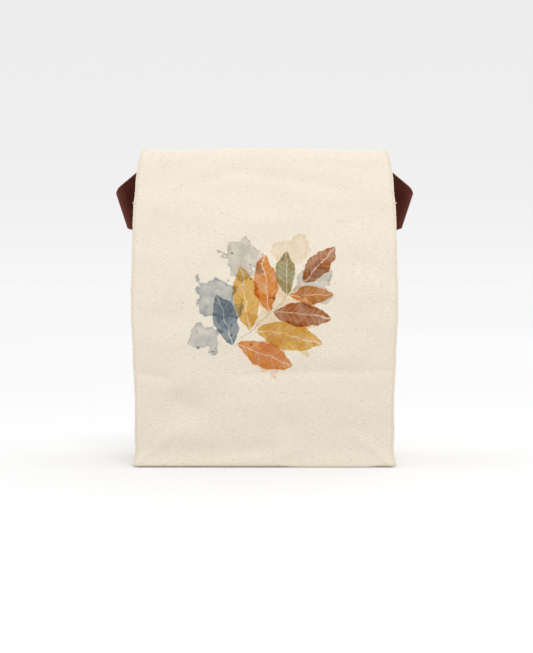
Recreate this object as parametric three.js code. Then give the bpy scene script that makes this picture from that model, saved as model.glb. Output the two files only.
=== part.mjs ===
// A canvas lunch sack that stands on its flat base. Its top is folded over to the back,
// and a webbing strap runs across the folded flap and round both sides.
//
// Millimetres. +X is to the right as the front is seen, +Y points to the back, +Z is up.
// The origin lies on the floor under the middle of the base.

import * as THREE from "three";

// Cloth
const CANVAS = 1.0; // thickness of the canvas
const SEAM_GAP = 0.3; // clearance between pieces that are sewn together or lie on each other

// Base, a flat rectangle of canvas under the walls
const BASE = { width: 182, depth: 106, cornerRadius: 3, cornerSteps: 4 };

// Levels of the standing sack, from the base up.
//   height        level above the floor
//   front, back   distance of each panel's outer face from the middle plane, at its side edges
//   halfWidth     half the width of the front and back panels
//   crown         how much further out the middle of each panel swells
//   dip           how deep the middle fold of each gusset sinks in between the panels
//   crease        radius of that fold
const LEVELS = [
  { height: 1.5, front: 51.8, back: 51.8, halfWidth: 91.2, crown: 0.0, dip: 0.6, crease: 60 },
  { height: 4.5, front: 51.5, back: 51.5, halfWidth: 91.9, crown: 0.2, dip: 1.2, crease: 60 },
  { height: 9, front: 50.6, back: 50.6, halfWidth: 90.9, crown: 0.4, dip: 0.8, crease: 60 },
  { height: 24, front: 50.3, back: 50.3, halfWidth: 90.8, crown: 0.8, dip: 1.2, crease: 60 },
  { height: 46, front: 51.0, back: 51.0, halfWidth: 91.1, crown: 1.3, dip: 2.2, crease: 50 },
  { height: 66, front: 51.8, back: 51.8, halfWidth: 91.6, crown: 1.2, dip: 5.0, crease: 36 },
  { height: 84, front: 51.0, back: 51.2, halfWidth: 92.6, crown: 1.8, dip: 9.5, crease: 24 },
  { height: 106, front: 49.2, back: 49.5, halfWidth: 93.7, crown: 2.4, dip: 17, crease: 13 },
  { height: 130, front: 45.6, back: 44.0, halfWidth: 93.8, crown: 2.6, dip: 26.5, crease: 6 },
  { height: 152, front: 40.0, back: 34.3, halfWidth: 93.7, crown: 2.4, dip: 36.5, crease: 3 },
  { height: 172, front: 33.0, back: 24.1, halfWidth: 93.5, crown: 2.0, dip: 43.5, crease: 1.6 },
  { height: 190, front: 25.0, back: 14.9, halfWidth: 93.1, crown: 1.5, dip: 48, crease: 0.9 },
  { height: 207, front: 15.8, back: 6.3, halfWidth: 92.2, crown: 0.8, dip: 50.5, crease: 0.5 },
  { height: 214, front: 11.4, back: 2.7, halfWidth: 91.3, crown: 0.4, dip: 51.2, crease: 0.4 },
];

// Fold at the top, where both panels and the gussets between them turn over to the back.
// A turn of 0 degrees heads straight up, 90 straight back and 180 straight down.
const FOLD = {
  top: 227, // height of the crest
  setback: 2, // how far the axis of the fold lies behind the middle plane
  innerRadius: 2, // outer face of the back panel, which lies inside the fold
  frontTurn: 45, // heading of the front panel where it starts to turn
  backTurn: -27, // heading of the back panel where it starts to turn
  endTurn: 156, // heading of the flap
  steps: 8,
  lead: 6, // length over which the front panel still runs straight while the back panel turns
  leadSteps: 2,
  dip: 51.5, // depth of the gusset's middle fold between the pressed panels
  neckHalfWidth: 90.4, // half width where the fold starts
  pinch: 2.6, // how far the ends of the crest draw in
};
const PRESSED_SLOT = 0.6; // gap left inside each gusset where it is pressed flat
const FLAP = {
  length: 66,
  steps: 4,
  mouthHalfWidth: 92,
  bow: 2.6, // how far the middle of the mouth is pushed out by the back panel's swell
};

// Grid of the cloth walls
const PANEL_COLUMNS = 12; // across a panel
const LEG_STEPS = 4; // across each half of a gusset
const CREASE_STEPS = 5; // round the fold of a gusset
const GUSSET_EDGE_INSET = 0.5; // side face of a gusset behind the edge of the panels

// Strap, sewn to the rear half of each gusset and folded round to cross the flap
const STRAP = {
  width: 30,
  thickness: 1.6,
  height: 175.3, // middle of the strap where it crosses the middle of the flap
  rise: 8, // how much higher it runs at the side folds
  reach: 105.3, // how far out the middle of each side fold stands
  foldLean: 16.5, // lean of the side folds from upright, in degrees, wider apart at the top
  seatGap: 0.5, // clearance from the flap
  bendRadius: 6.1, // middle of the webbing round each side fold
  bendTurn: 165, // how far each side fold turns, in degrees
  tail: 32, // from each side fold to the sewn end
  backStep: 16,
  bendSteps: 10,
  tailSteps: 4,
};

const CANVAS_CLOTH = { color: 0xeee3cd, roughness: 0.92, metalness: 0 };
const BROWN_WEBBING = { color: 0x4b2722, roughness: 0.8, metalness: 0 };

const radians = THREE.MathUtils.degToRad;
const lerp = THREE.MathUtils.lerp;

// Points of the side view are THREE.Vector2, with x towards the back and y up.
const heading = (turn) => new THREE.Vector2(Math.sin(radians(turn)), Math.cos(radians(turn)));
const foldSide = (turn) => new THREE.Vector2(-Math.cos(radians(turn)), Math.sin(radians(turn)));

// Stations of the folded-over top

const frontRadius = FOLD.innerRadius + 4 * CANVAS + 2 * SEAM_GAP + PRESSED_SLOT;
const foldAxis = new THREE.Vector2(FOLD.setback, FOLD.top - frontRadius);

function foldPoint(radius, turn) {
  return foldSide(turn).multiplyScalar(radius).add(foldAxis);
}

function foldFront(step) {
  const share = (step - FOLD.leadSteps) / (FOLD.steps - FOLD.leadSteps);
  const turn = lerp(FOLD.frontTurn, FOLD.endTurn, Math.max(share, 0));
  const leftToRun = FOLD.lead * Math.max(1 - step / FOLD.leadSteps, 0);
  return foldPoint(frontRadius, turn).addScaledVector(heading(turn), -leftToRun);
}

function foldStations() {
  const stations = [];
  for (let step = 0; step <= FOLD.steps; step++) {
    const share = step / FOLD.steps;
    stations.push({
      front: foldFront(step),
      back: foldPoint(FOLD.innerRadius, lerp(FOLD.backTurn, FOLD.endTurn, share)),
      halfWidth: FOLD.neckHalfWidth - FOLD.pinch * Math.sin(Math.PI * share),
      crown: 0,
      bow: 0,
      dip: FOLD.dip,
      crease: PRESSED_SLOT / 2,
    });
  }
  return stations;
}

function flapStations() {
  const start = foldStations().at(-1);
  const stations = [];
  for (let step = 1; step <= FLAP.steps; step++) {
    const share = step / FLAP.steps;
    const run = heading(FOLD.endTurn).multiplyScalar(FLAP.length * share);
    stations.push({
      ...start,
      front: start.front.clone().add(run),
      back: start.back.clone().add(run),
      halfWidth: lerp(FOLD.neckHalfWidth, FLAP.mouthHalfWidth, share),
      bow: FLAP.bow * share,
    });
  }
  return stations;
}

function levelStations() {
  return LEVELS.map(({ height, front, back, ...shape }) => ({
    front: new THREE.Vector2(-front, height),
    back: new THREE.Vector2(back, height),
    bow: 0,
    ...shape,
  }));
}

const STATIONS = [...levelStations(), ...foldStations(), ...flapStations()];

// Unit normal of a panel's outline in the side view at a station, pointing out of the sack.
function outward(panel, index) {
  const before = STATIONS[Math.max(index - 1, 0)][panel];
  const after = STATIONS[Math.min(index + 1, STATIONS.length - 1)][panel];
  const along = after.clone().sub(before).normalize();
  return panel === "front" ? new THREE.Vector2(-along.y, along.x) : new THREE.Vector2(along.y, -along.x);
}

// Share of a panel's swell that is left at a distance from its middle.
const swellAt = (x, halfWidth) => Math.max(1 - (x / halfWidth) ** 2, 0);

// How far the layers of the flap are pushed out together, at a station and a distance from its middle.
function bowAt(station, index, x) {
  return outward("front", index).multiplyScalar(station.bow * swellAt(x, station.halfWidth));
}

// Cloth walls. A wall starts as rows of points on its outer face, and is thickened towards the inside.

function faceNormal(rows, i, j) {
  const at = (row, column) => rows[row][column];
  const lastRow = rows.length - 1;
  const lastColumn = rows[0].length - 1;
  const along = at(Math.min(i + 1, lastRow), j).clone().sub(at(Math.max(i - 1, 0), j));
  const across = at(i, Math.min(j + 1, lastColumn)).clone().sub(at(i, Math.max(j - 1, 0)));
  return across.cross(along).normalize();
}

// The outer face, the inner face and the rim between their borders make one closed solid.
function thicken(rows, thickness) {
  const last = { row: rows.length - 1, column: rows[0].length - 1 };
  const outer = rows.flat();
  const inner = rows.flatMap((row, i) =>
    row.map((point, j) => point.clone().addScaledVector(faceNormal(rows, i, j), -thickness)),
  );
  const points = [...outer, ...inner];
  const at = (i, j) => i * rows[0].length + j;
  const under = (vertex) => vertex + outer.length;
  const span = (a, b) => points[a].distanceTo(points[b]);
  const triangles = [];
  // Each quad is split along its shorter diagonal, so that the two sides of the sack mirror each other.
  const quad = (a, b, c, d) =>
    span(a, c) < span(b, d) ? triangles.push(a, b, c, a, c, d) : triangles.push(b, c, d, b, d, a);
  const rim = (a, b) => quad(b, a, under(a), under(b));
  for (let i = 0; i < last.row; i++) {
    for (let j = 0; j < last.column; j++) {
      const corners = [at(i, j), at(i, j + 1), at(i + 1, j + 1), at(i + 1, j)];
      quad(...corners);
      quad(...corners.map(under).reverse());
    }
    rim(at(i, last.column), at(i + 1, last.column));
    rim(at(i + 1, 0), at(i, 0));
  }
  for (let j = 0; j < last.column; j++) {
    rim(at(0, j), at(0, j + 1));
    rim(at(last.row, j + 1), at(last.row, j));
  }
  return new THREE.BufferGeometry().setFromPoints(points).setIndex(triangles);
}

// Front and back panels, each one strip of canvas from the base over the fold to the mouth.

function panelRows(panel) {
  return STATIONS.map((station, index) => {
    const normal = outward(panel, index);
    const row = [];
    for (let column = 0; column <= PANEL_COLUMNS; column++) {
      const x = station.halfWidth * ((2 * column) / PANEL_COLUMNS - 1);
      const swell = station.crown * swellAt(x, station.halfWidth);
      const side = station[panel].clone().addScaledVector(normal, swell).add(bowAt(station, index, x));
      row.push(new THREE.Vector3(x, side.x, side.y));
    }
    return panel === "front" ? row : row.reverse();
  });
}

// Gussets: from the front panel's edge in to the middle fold and out to the back panel's edge.

// One half of a gusset's section, in a frame of its own: x from the middle fold's plane towards
// one panel, y inwards. A straight leg runs from the edge until it touches the rounded fold.
function gussetHalf(halfGap, dip, crease) {
  const centre = dip - crease;
  const reach = Math.hypot(halfGap, centre);
  const legTurn = Math.atan2(centre, halfGap) + Math.asin(Math.min(crease / reach, 1));
  const onFold = (turn) => new THREE.Vector2(crease * Math.sin(turn), centre + crease * Math.cos(turn));
  const edge = new THREE.Vector2(halfGap, 0);
  const legEnd = onFold(legTurn);
  const points = [];
  for (let step = 0; step < LEG_STEPS; step++) {
    points.push(edge.clone().lerp(legEnd, step / LEG_STEPS));
  }
  for (let step = 0; step <= CREASE_STEPS; step++) {
    points.push(onFold(legTurn * (1 - step / CREASE_STEPS)));
  }
  return { points, legTurn };
}

function gussetRow(station, index, side) {
  const fullGap = station.front.distanceTo(station.back) / 2;
  const { legTurn } = gussetHalf(fullGap, station.dip, station.crease);
  // The more a gusset's half lies along its panel, the more of its thickness stands between them.
  const inset = CANVAS + SEAM_GAP + CANVAS * Math.max(Math.sin(legTurn), 0);
  const front = station.front.clone().addScaledVector(outward("front", index), -inset);
  const back = station.back.clone().addScaledVector(outward("back", index), -inset);
  const middle = front.clone().lerp(back, 0.5);
  const toFront = front.clone().sub(back).normalize();
  const half = gussetHalf(front.distanceTo(back) / 2, station.dip, station.crease).points;
  const section = [
    ...half.map((point) => [point.x, point.y]),
    ...half.slice(0, -1).reverse().map((point) => [-point.x, point.y]),
  ];
  return section.map(([across, inwards]) => {
    const x = station.halfWidth - GUSSET_EDGE_INSET - inwards;
    const place = middle.clone().addScaledVector(toFront, across).add(bowAt(station, index, x));
    return new THREE.Vector3(side * x, place.x, place.y);
  });
}

function gussetRows(side) {
  return STATIONS.map((station, index) => {
    const row = gussetRow(station, index, side);
    return side > 0 ? row : row.reverse();
  });
}

// Base

function baseGeometry() {
  const { width, depth, cornerRadius: r, cornerSteps } = BASE;
  const outline = new THREE.Shape();
  const corners = [
    { x: width / 2 - r, y: depth / 2 - r, from: 0 },
    { x: r - width / 2, y: depth / 2 - r, from: 90 },
    { x: r - width / 2, y: r - depth / 2, from: 180 },
    { x: width / 2 - r, y: r - depth / 2, from: 270 },
  ];
  for (const { x, y, from } of corners) {
    outline.absarc(x, y, r, radians(from), radians(from + 90), false);
  }
  const slab = { depth: CANVAS, bevelEnabled: false, curveSegments: cornerSteps };
  return new THREE.ExtrudeGeometry(outline, slab);
}

// Strap. It is a band that sags a little across the back and is bent about two slanting side folds.

// Place of a point of the band before it is bent, in the plane of the flap.
// run is measured along the band from the middle of the back, across from its middle line upwards.
function flatStrapPoint(run, across) {
  const sagging = Math.min(run, STRAP.reach);
  const slope = (2 * STRAP.rise * sagging) / STRAP.reach ** 2;
  const middle = new THREE.Vector2(run, STRAP.rise * (sagging / STRAP.reach) ** 2 + slope * (run - sagging));
  const upwards = new THREE.Vector2(-slope, 1).normalize();
  return middle.addScaledVector(upwards, across);
}

const foldLean = radians(STRAP.foldLean);
const outOfFold = new THREE.Vector2(Math.cos(foldLean), -Math.sin(foldLean));
const downFold = new THREE.Vector2(-Math.sin(foldLean), -Math.cos(foldLean));
const bendStart =
  new THREE.Vector2(STRAP.reach, STRAP.rise).dot(outOfFold) - STRAP.bendRadius - STRAP.thickness / 2;

function strapPoint(run, across) {
  const flat = flatStrapPoint(Math.abs(run), across);
  const squareToFold = flat.dot(outOfFold);
  const turn = radians(STRAP.bendTurn);
  const bent = THREE.MathUtils.clamp((squareToFold - bendStart) / STRAP.bendRadius, 0, turn);
  const before = Math.min(squareToFold, bendStart);
  const after = Math.max(squareToFold - bendStart - STRAP.bendRadius * turn, 0);
  const reach = before + STRAP.bendRadius * Math.sin(bent) + after * Math.cos(turn);
  const sunk = STRAP.bendRadius * (1 - Math.cos(bent)) + after * Math.sin(turn);
  const plan = outOfFold.clone().multiplyScalar(reach).addScaledVector(downFold, flat.dot(downFold));

  const flapStart = foldPoint(frontRadius, FOLD.endTurn);
  const downFlap = heading(FOLD.endTurn);
  const down = (STRAP.height - flapStart.y) / downFlap.y - plan.y;
  const onFlap = bent > 0 ? 0 : (FLAP.bow * down * swellAt(plan.x, FLAP.mouthHalfWidth)) / FLAP.length;
  const lift = onFlap + STRAP.seatGap + STRAP.thickness / 2 - sunk;
  const place = flapStart.addScaledVector(downFlap, down).addScaledVector(foldSide(FOLD.endTurn), lift);
  return new THREE.Vector3((Math.sign(run) || 1) * plan.x, place.x, place.y);
}

// Runs along the band at which it gets a section: sparse on the back, close together round a side fold.
function strapRuns() {
  const slack = STRAP.width / 4; // the slanting fold starts this much earlier or later at the band's edges
  const bendLength = STRAP.bendRadius * radians(STRAP.bendTurn);
  const bendFrom = bendStart / outOfFold.x - slack;
  const bendTo = bendFrom + bendLength + 2 * slack;
  const end = STRAP.reach + bendLength / 2 + STRAP.tail;
  const spread = (from, to, steps) =>
    Array.from({ length: steps }, (_, step) => lerp(from, to, (step + 1) / steps));
  const half = [
    ...spread(0, bendFrom, Math.round(bendFrom / STRAP.backStep)),
    ...spread(bendFrom, bendTo, STRAP.bendSteps),
    ...spread(bendTo, end, STRAP.tailSteps),
  ];
  return [...half.map((run) => -run).reverse(), 0, ...half];
}

function strapRows() {
  const halfWidth = STRAP.width / 2;
  return strapRuns().map((run) => [halfWidth, 0, -halfWidth].map((across) => strapPoint(run, across)));
}

// The band's rows lie in the middle of the webbing, so both faces are offset from them.
function strapGeometry() {
  const rows = strapRows();
  const outer = rows.map((row, i) =>
    row.map((point, j) => point.clone().addScaledVector(faceNormal(rows, i, j), STRAP.thickness / 2)),
  );
  return thicken(outer, STRAP.thickness);
}

// Assembly

function piece(name, geometry, finish) {
  const mesh = new THREE.Mesh(geometry, new THREE.MeshStandardMaterial(finish));
  mesh.name = name;
  return mesh;
}

const lunchBag = new THREE.Group();
lunchBag.add(
  piece("bottom_panel", baseGeometry(), CANVAS_CLOTH),
  piece("front_panel", thicken(panelRows("front"), CANVAS), CANVAS_CLOTH),
  piece("back_panel", thicken(panelRows("back"), CANVAS), CANVAS_CLOTH),
  piece("left_gusset", thicken(gussetRows(-1), CANVAS), CANVAS_CLOTH),
  piece("right_gusset", thicken(gussetRows(1), CANVAS), CANVAS_CLOTH),
  piece("strap", strapGeometry(), BROWN_WEBBING),
);

export default lunchBag;
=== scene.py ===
"""Canvas lunch sack with a folded-over top and a webbing strap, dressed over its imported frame.

Lengths are millimetres in the sack's own frame until a mesh is made, and metres after that.
"""

import logging
import math
from dataclasses import dataclass, field
from enum import Enum, IntEnum

import bpy
import numpy as np
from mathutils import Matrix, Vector

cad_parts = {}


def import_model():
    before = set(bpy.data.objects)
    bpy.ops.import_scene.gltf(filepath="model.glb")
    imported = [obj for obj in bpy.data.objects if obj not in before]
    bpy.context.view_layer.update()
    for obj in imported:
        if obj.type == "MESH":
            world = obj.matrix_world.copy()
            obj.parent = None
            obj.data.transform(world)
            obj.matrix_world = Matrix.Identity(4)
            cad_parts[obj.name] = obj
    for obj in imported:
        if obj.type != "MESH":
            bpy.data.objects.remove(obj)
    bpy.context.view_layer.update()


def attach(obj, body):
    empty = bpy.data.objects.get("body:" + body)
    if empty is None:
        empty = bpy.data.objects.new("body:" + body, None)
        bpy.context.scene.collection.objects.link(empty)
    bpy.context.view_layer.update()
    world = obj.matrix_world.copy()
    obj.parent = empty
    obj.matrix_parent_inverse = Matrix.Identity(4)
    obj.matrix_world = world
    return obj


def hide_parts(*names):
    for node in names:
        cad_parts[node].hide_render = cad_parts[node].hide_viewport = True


LOG = logging.getLogger("lunch_sack")
MM = 0.001
BODY = "root"
CLOTH_MAP = "cloth"
CLOTH_MAP_UNIT = 100.0
PANEL_HALF = 93.5
BORDER_MARGIN = 13.2
BORDER_PLACES = np.array([0.0, 0.15, 0.4, 0.8, 1.3, 1.9, 2.6, 3.4, 4.2, 5.1, 6.1, 7.2, 8.4, 9.8, 11.4])


class Panel(Enum):
    """The two strips of canvas that run from the base over the fold to the mouth."""

    FRONT = "front"
    BACK = "back"


class Side(Enum):
    """Left and right as the front is seen."""

    LEFT = -1
    RIGHT = 1


class Slot(Enum):
    """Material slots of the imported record."""

    CANVAS = "canvas"
    WEBBING = "webbing"


class Track(IntEnum):
    """Columns of the sack's station table."""

    FRONT_Y = 0
    FRONT_Z = 1
    BACK_Y = 2
    BACK_Z = 3
    HALF_WIDTH = 4
    CROWN = 5
    DIP = 6
    CREASE = 7
    FOLD = 8
    FLAP = 9


def smoothstep(low: float, high: float, value: np.ndarray) -> np.ndarray:
    """Rises softly from 0 to 1.

    Args:
        low: Where the rise starts.
        high: Where the rise ends.
        value: Places to evaluate.

    Returns:
        The share risen at each place.
    """
    share = np.clip((value - low) / (high - low), 0.0, 1.0)
    return share * share * (3.0 - 2.0 * share)


def hump(value: np.ndarray, width: float | np.ndarray) -> np.ndarray:
    """A soft hump of height 1 about 0, that is about twice the width across."""
    return np.exp(-((value / width) ** 2))


def unit(vectors: np.ndarray) -> np.ndarray:
    """Vectors scaled to length 1."""
    return vectors / np.maximum(np.linalg.norm(vectors, axis=-1, keepdims=True), 1e-9)


class SmoothTable:
    """A smooth curve through a table that has one row of values at each knot."""

    def __init__(self, knots: np.ndarray, rows: np.ndarray) -> None:
        """Prepares the tangents.

        Args:
            knots: Places of the rows, increasing.
            rows: Values, one row for each knot.
        """
        steps = np.diff(knots)[:, None]
        slopes = np.diff(rows, axis=0) / steps
        tangents = np.empty_like(rows)
        tangents[0] = slopes[0]
        tangents[-1] = slopes[-1]
        tangents[1:-1] = (slopes[:-1] * steps[1:] + slopes[1:] * steps[:-1]) / (steps[1:] + steps[:-1])
        self.knots = knots
        self.rows = rows
        self.tangents = tangents

    def at(self, place: np.ndarray) -> np.ndarray:
        """Values at some places.

        Args:
            place: Places along the knots, of any shape.

        Returns:
            Values, with one axis more than place.
        """
        place = np.clip(place, self.knots[0], self.knots[-1])
        cell = np.clip(np.searchsorted(self.knots, place, side="right") - 1, 0, len(self.knots) - 2)
        step = (self.knots[cell + 1] - self.knots[cell])[..., None]
        t = (place - self.knots[cell])[..., None] / step
        start = (1 + 2 * t) * (1 - t) ** 2 * self.rows[cell] + t * (1 - t) ** 2 * step * self.tangents[cell]
        end = t**2 * (3 - 2 * t) * self.rows[cell + 1] + t**2 * (t - 1) * step * self.tangents[cell + 1]
        return start + end


class Ripples:
    """A seeded field of soft waves over a cloth."""

    def __init__(self, seed: int, count: int, wavelengths: tuple[float, float], across: float) -> None:
        """Draws the waves.

        Args:
            seed: Seed of the draw.
            count: How many waves are summed.
            wavelengths: Shortest and longest wave.
            across: Share of each wave's run that may go across the cloth instead of along it.
        """
        draw = np.random.default_rng(seed)
        turns = 2 * math.pi / draw.uniform(*wavelengths, count)
        slants = draw.uniform(-1, 1, count) * across * math.pi / 2
        self.across = turns * np.sin(slants)
        self.along = turns * np.cos(slants)
        self.phases = draw.uniform(0, 2 * math.pi, count)

    def at(self, u: np.ndarray, v: np.ndarray) -> np.ndarray:
        """Height of the waves, mostly from -1 to 1.

        Args:
            u: Places across the cloth.
            v: Places along the cloth.

        Returns:
            Height at each place.
        """
        waves = np.sin(u[..., None] * self.across + v[..., None] * self.along + self.phases)
        return waves.sum(axis=-1) / math.sqrt(2 * len(self.phases))


@dataclass(frozen=True)
class Level:
    """Cross-section of the standing sack at one height."""

    height: float
    front: float
    back: float
    half_width: float
    crown: float
    dip: float
    crease: float


LEVELS = (
    Level(0.85, 51.0, 51.0, 90.3, 0.0, 0.6, 60),
    Level(0.87, 51.7, 51.7, 91.2, 0.0, 0.6, 60),
    Level(1.0, 52.2, 52.2, 91.8, 0.0, 0.65, 60),
    Level(1.3, 52.45, 52.45, 92.2, 0.0, 0.7, 60),
    Level(1.9, 52.55, 52.55, 92.4, 0.05, 0.8, 60),
    Level(2.8, 52.5, 52.5, 92.4, 0.1, 0.9, 60),
    Level(5.0, 51.8, 51.8, 92.1, 0.2, 1.2, 60),
    Level(9, 50.6, 50.6, 91.2, 0.4, 0.8, 60),
    Level(24, 50.3, 50.3, 91.1, 0.8, 1.2, 60),
    Level(46, 51.0, 51.0, 91.1, 1.3, 2.2, 50),
    Level(66, 51.8, 51.8, 91.6, 1.2, 5.0, 36),
    Level(84, 51.0, 51.2, 92.6, 1.8, 9.5, 24),
    Level(106, 49.2, 49.5, 93.7, 2.4, 17, 13),
    Level(130, 45.6, 44.0, 93.8, 2.6, 26.5, 6),
    Level(152, 40.0, 34.3, 93.7, 2.4, 36.5, 3),
    Level(172, 33.0, 24.1, 93.5, 2.0, 43.5, 1.6),
    Level(190, 25.0, 14.9, 93.1, 1.5, 48, 0.9),
    Level(207, 15.8, 6.3, 92.2, 0.8, 50.5, 0.5),
    Level(214, 11.4, 2.7, 91.3, 0.4, 51.2, 0.4),
)


@dataclass(frozen=True)
class Dip:
    """A soft dip in the crest of the fold."""

    x: float
    width: float
    depth: float


@dataclass
class SackShape:
    """The closed sack as smooth functions of one place that runs from the base to the mouth."""

    fold_top: float = 227.0
    fold_setback: float = 2.0
    fold_inner_radius: float = 2.0
    fold_front_turn: float = 45.0
    fold_back_turn: float = -27.0
    fold_end_turn: float = 156.0
    fold_steps: int = 24
    fold_lead: float = 6.0
    fold_lead_share: float = 0.25
    fold_dip: float = 51.5
    fold_half_width: float = 90.4
    fold_pinch: float = 2.2
    fold_stack: float = 5.2
    pressed_crease: float = 0.3
    flap_length: float = 66.0
    flap_steps: int = 8
    flap_half_width: float = 92.0
    flap_bow: float = 2.6
    crest_seed: int = 41
    crest_wave: float = 0.3
    crest_slant: float = 0.3
    crest_from: float = 190.0
    crest_span: float = 40.0
    crest_fade: float = 2.5
    crest_droop: float = 0.25
    droop_from: float = 66.0
    droop_span: float = 24.0
    crest_dips: tuple[Dip, ...] = (Dip(-60.0, 24.0, 1.0), Dip(70.0, 24.0, 0.8))
    flap_wave: float = 0.5
    flap_wave_shift: float = 31.0
    flap_wave_slant: float = 0.6
    foot_settle: float = 0.65
    foot_height: float = 9.0
    foot_rise: tuple[float, float] = (8.0, 26.0)
    foot_fall: tuple[float, float] = (72.0, 80.0)
    hollow: float = 4.0
    hollow_taper: float = 0.0525
    tuck_share: float = 0.92
    tuck_at: float = 26.0
    tuck_width: float = 22.0
    tuck_rise: float = 5.0
    tuck_fall: tuple[float, float] = (28.0, 46.0)
    turn_tuck: float = 1.5
    probe: float = 0.15
    samples: int = 4001
    fold_span: tuple[float, float] = field(init=False)
    table: SmoothTable = field(init=False)
    runs: dict[Panel, np.ndarray] = field(init=False)
    places: np.ndarray = field(init=False)
    crest: Ripples = field(init=False)

    def __post_init__(self) -> None:
        """Builds the station table and measures both panels along it."""
        rows = np.array(self.level_rows() + self.fold_rows() + self.flap_rows())
        chords = [
            np.linalg.norm(np.diff(rows[:, pair], axis=0), axis=1)
            for pair in ([Track.FRONT_Y, Track.FRONT_Z], [Track.BACK_Y, Track.BACK_Z])
        ]
        knots = np.concatenate([[0.0], np.cumsum((chords[0] + chords[1]) / 2)])
        self.table = SmoothTable(knots, rows)
        self.fold_span = (float(knots[len(LEVELS)]), float(knots[len(LEVELS) + self.fold_steps]))
        self.places = np.linspace(0.0, knots[-1], self.samples)
        self.runs = {}
        for panel in Panel:
            steps = np.linalg.norm(np.diff(self.outline(panel, self.places), axis=0), axis=1)
            self.runs[panel] = np.concatenate([[0.0], np.cumsum(steps)])
        self.crest = Ripples(self.crest_seed, count=5, wavelengths=(46.0, 150.0), across=0.0)

    @property
    def front_radius(self) -> float:
        """Radius of the front panel's outer face round the fold."""
        return self.fold_inner_radius + self.fold_stack

    @property
    def length(self) -> float:
        """Last place, at the mouth."""
        return float(self.places[-1])

    @staticmethod
    def heading(turn: float) -> np.ndarray:
        """Direction in the side view at a turn in degrees, where 0 is up and 90 is to the back."""
        return np.array([math.sin(math.radians(turn)), math.cos(math.radians(turn))])

    def fold_point(self, radius: float, turn: float) -> np.ndarray:
        """A point on a circle round the fold's axis, in the side view."""
        out = np.array([-math.cos(math.radians(turn)), math.sin(math.radians(turn))])
        return np.array([self.fold_setback, self.fold_top - self.front_radius]) + radius * out

    def level_rows(self) -> list[list[float]]:
        """Station rows of the standing part.

        Returns:
            Rows in the order of Track, from the base up.
        """
        rows = []
        for level in LEVELS:
            sides = [-level.front, level.height, level.back, level.height]
            folding = max(0.0, (level.height - self.crest_from) / self.crest_span)
            rows.append([*sides, level.half_width, level.crown, level.dip, level.crease, folding, 0.0])
        return rows

    def fold_rows(self) -> list[list[float]]:
        """Station rows of the turned-over top.

        Returns:
            Rows in the order of Track, from the neck round to the flap.
        """
        rows = []
        for step in range(self.fold_steps + 1):
            share = step / self.fold_steps
            arc = max((share - self.fold_lead_share) / (1 - self.fold_lead_share), 0.0)
            left = self.fold_lead * max(1 - share / self.fold_lead_share, 0.0)
            front_turn = self.fold_front_turn + (self.fold_end_turn - self.fold_front_turn) * arc
            back_turn = self.fold_back_turn + (self.fold_end_turn - self.fold_back_turn) * share
            front = self.fold_point(self.front_radius, front_turn) - left * self.heading(front_turn)
            back = self.fold_point(self.fold_inner_radius, back_turn)
            half_width = self.fold_half_width - self.fold_pinch * math.sin(math.pi * share) ** 3
            rows.append([*front, *back, half_width, 0.0, self.fold_dip, self.pressed_crease, 1.0, 0.0])
        return rows

    def flap_rows(self) -> list[list[float]]:
        """Station rows of the flap.

        Returns:
            Rows in the order of Track, from the fold down to the mouth.
        """
        start = self.fold_rows()[-1]
        rows = []
        for step in range(1, self.flap_steps + 1):
            share = step / self.flap_steps
            run = self.heading(self.fold_end_turn) * self.flap_length * share
            front = np.array(start[:2]) + run
            back = np.array(start[2:4]) + run
            half_width = self.fold_half_width + (self.flap_half_width - self.fold_half_width) * share
            folding = max(1 - self.crest_fade * share, 0.0)
            rows.append([*front, *back, half_width, 0.0, self.fold_dip, self.pressed_crease, folding, share])
        return rows

    def at(self, place: np.ndarray) -> np.ndarray:
        """Station values at some places."""
        return self.table.at(place)

    def outline(self, panel: Panel, place: np.ndarray) -> np.ndarray:
        """A panel's outer face in the side view, at its edges.

        Args:
            panel: Which strip.
            place: Places from the base to the mouth.

        Returns:
            Points of the side view, y and z.
        """
        first = Track.FRONT_Y if panel is Panel.FRONT else Track.BACK_Y
        return self.table.at(place)[..., first : first + 2]

    def outward(self, panel: Panel, place: np.ndarray) -> np.ndarray:
        """Unit normal of a panel in the side view, pointing out of the sack.

        Args:
            panel: Which strip.
            place: Places from the base to the mouth.

        Returns:
            Normals, y and z.
        """
        along = self.outline(panel, place + self.probe) - self.outline(panel, place - self.probe)
        turned = np.stack([-along[..., 1], along[..., 0]], axis=-1)
        return unit(turned if panel is Panel.FRONT else -turned)

    def place_at(self, panel: Panel, run: np.ndarray) -> np.ndarray:
        """Place that lies at a length of cloth from the panel's lower edge."""
        return np.interp(run, self.runs[panel], self.places)

    def flap_push(self, x: np.ndarray, share: np.ndarray) -> np.ndarray:
        """How far the layers of the flap stand out together.

        Args:
            x: Distances from the middle.
            share: Shares of the way from the fold to the mouth.

        Returns:
            Distances square to the flap.
        """
        swell = np.clip(1 - (x / self.flap_half_width) ** 2, 0.0, None)
        wave = self.crest.at(x + self.flap_wave_shift, x * self.flap_wave_slant)
        return share * (self.flap_bow * swell + self.flap_wave * (1 + wave))

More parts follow.
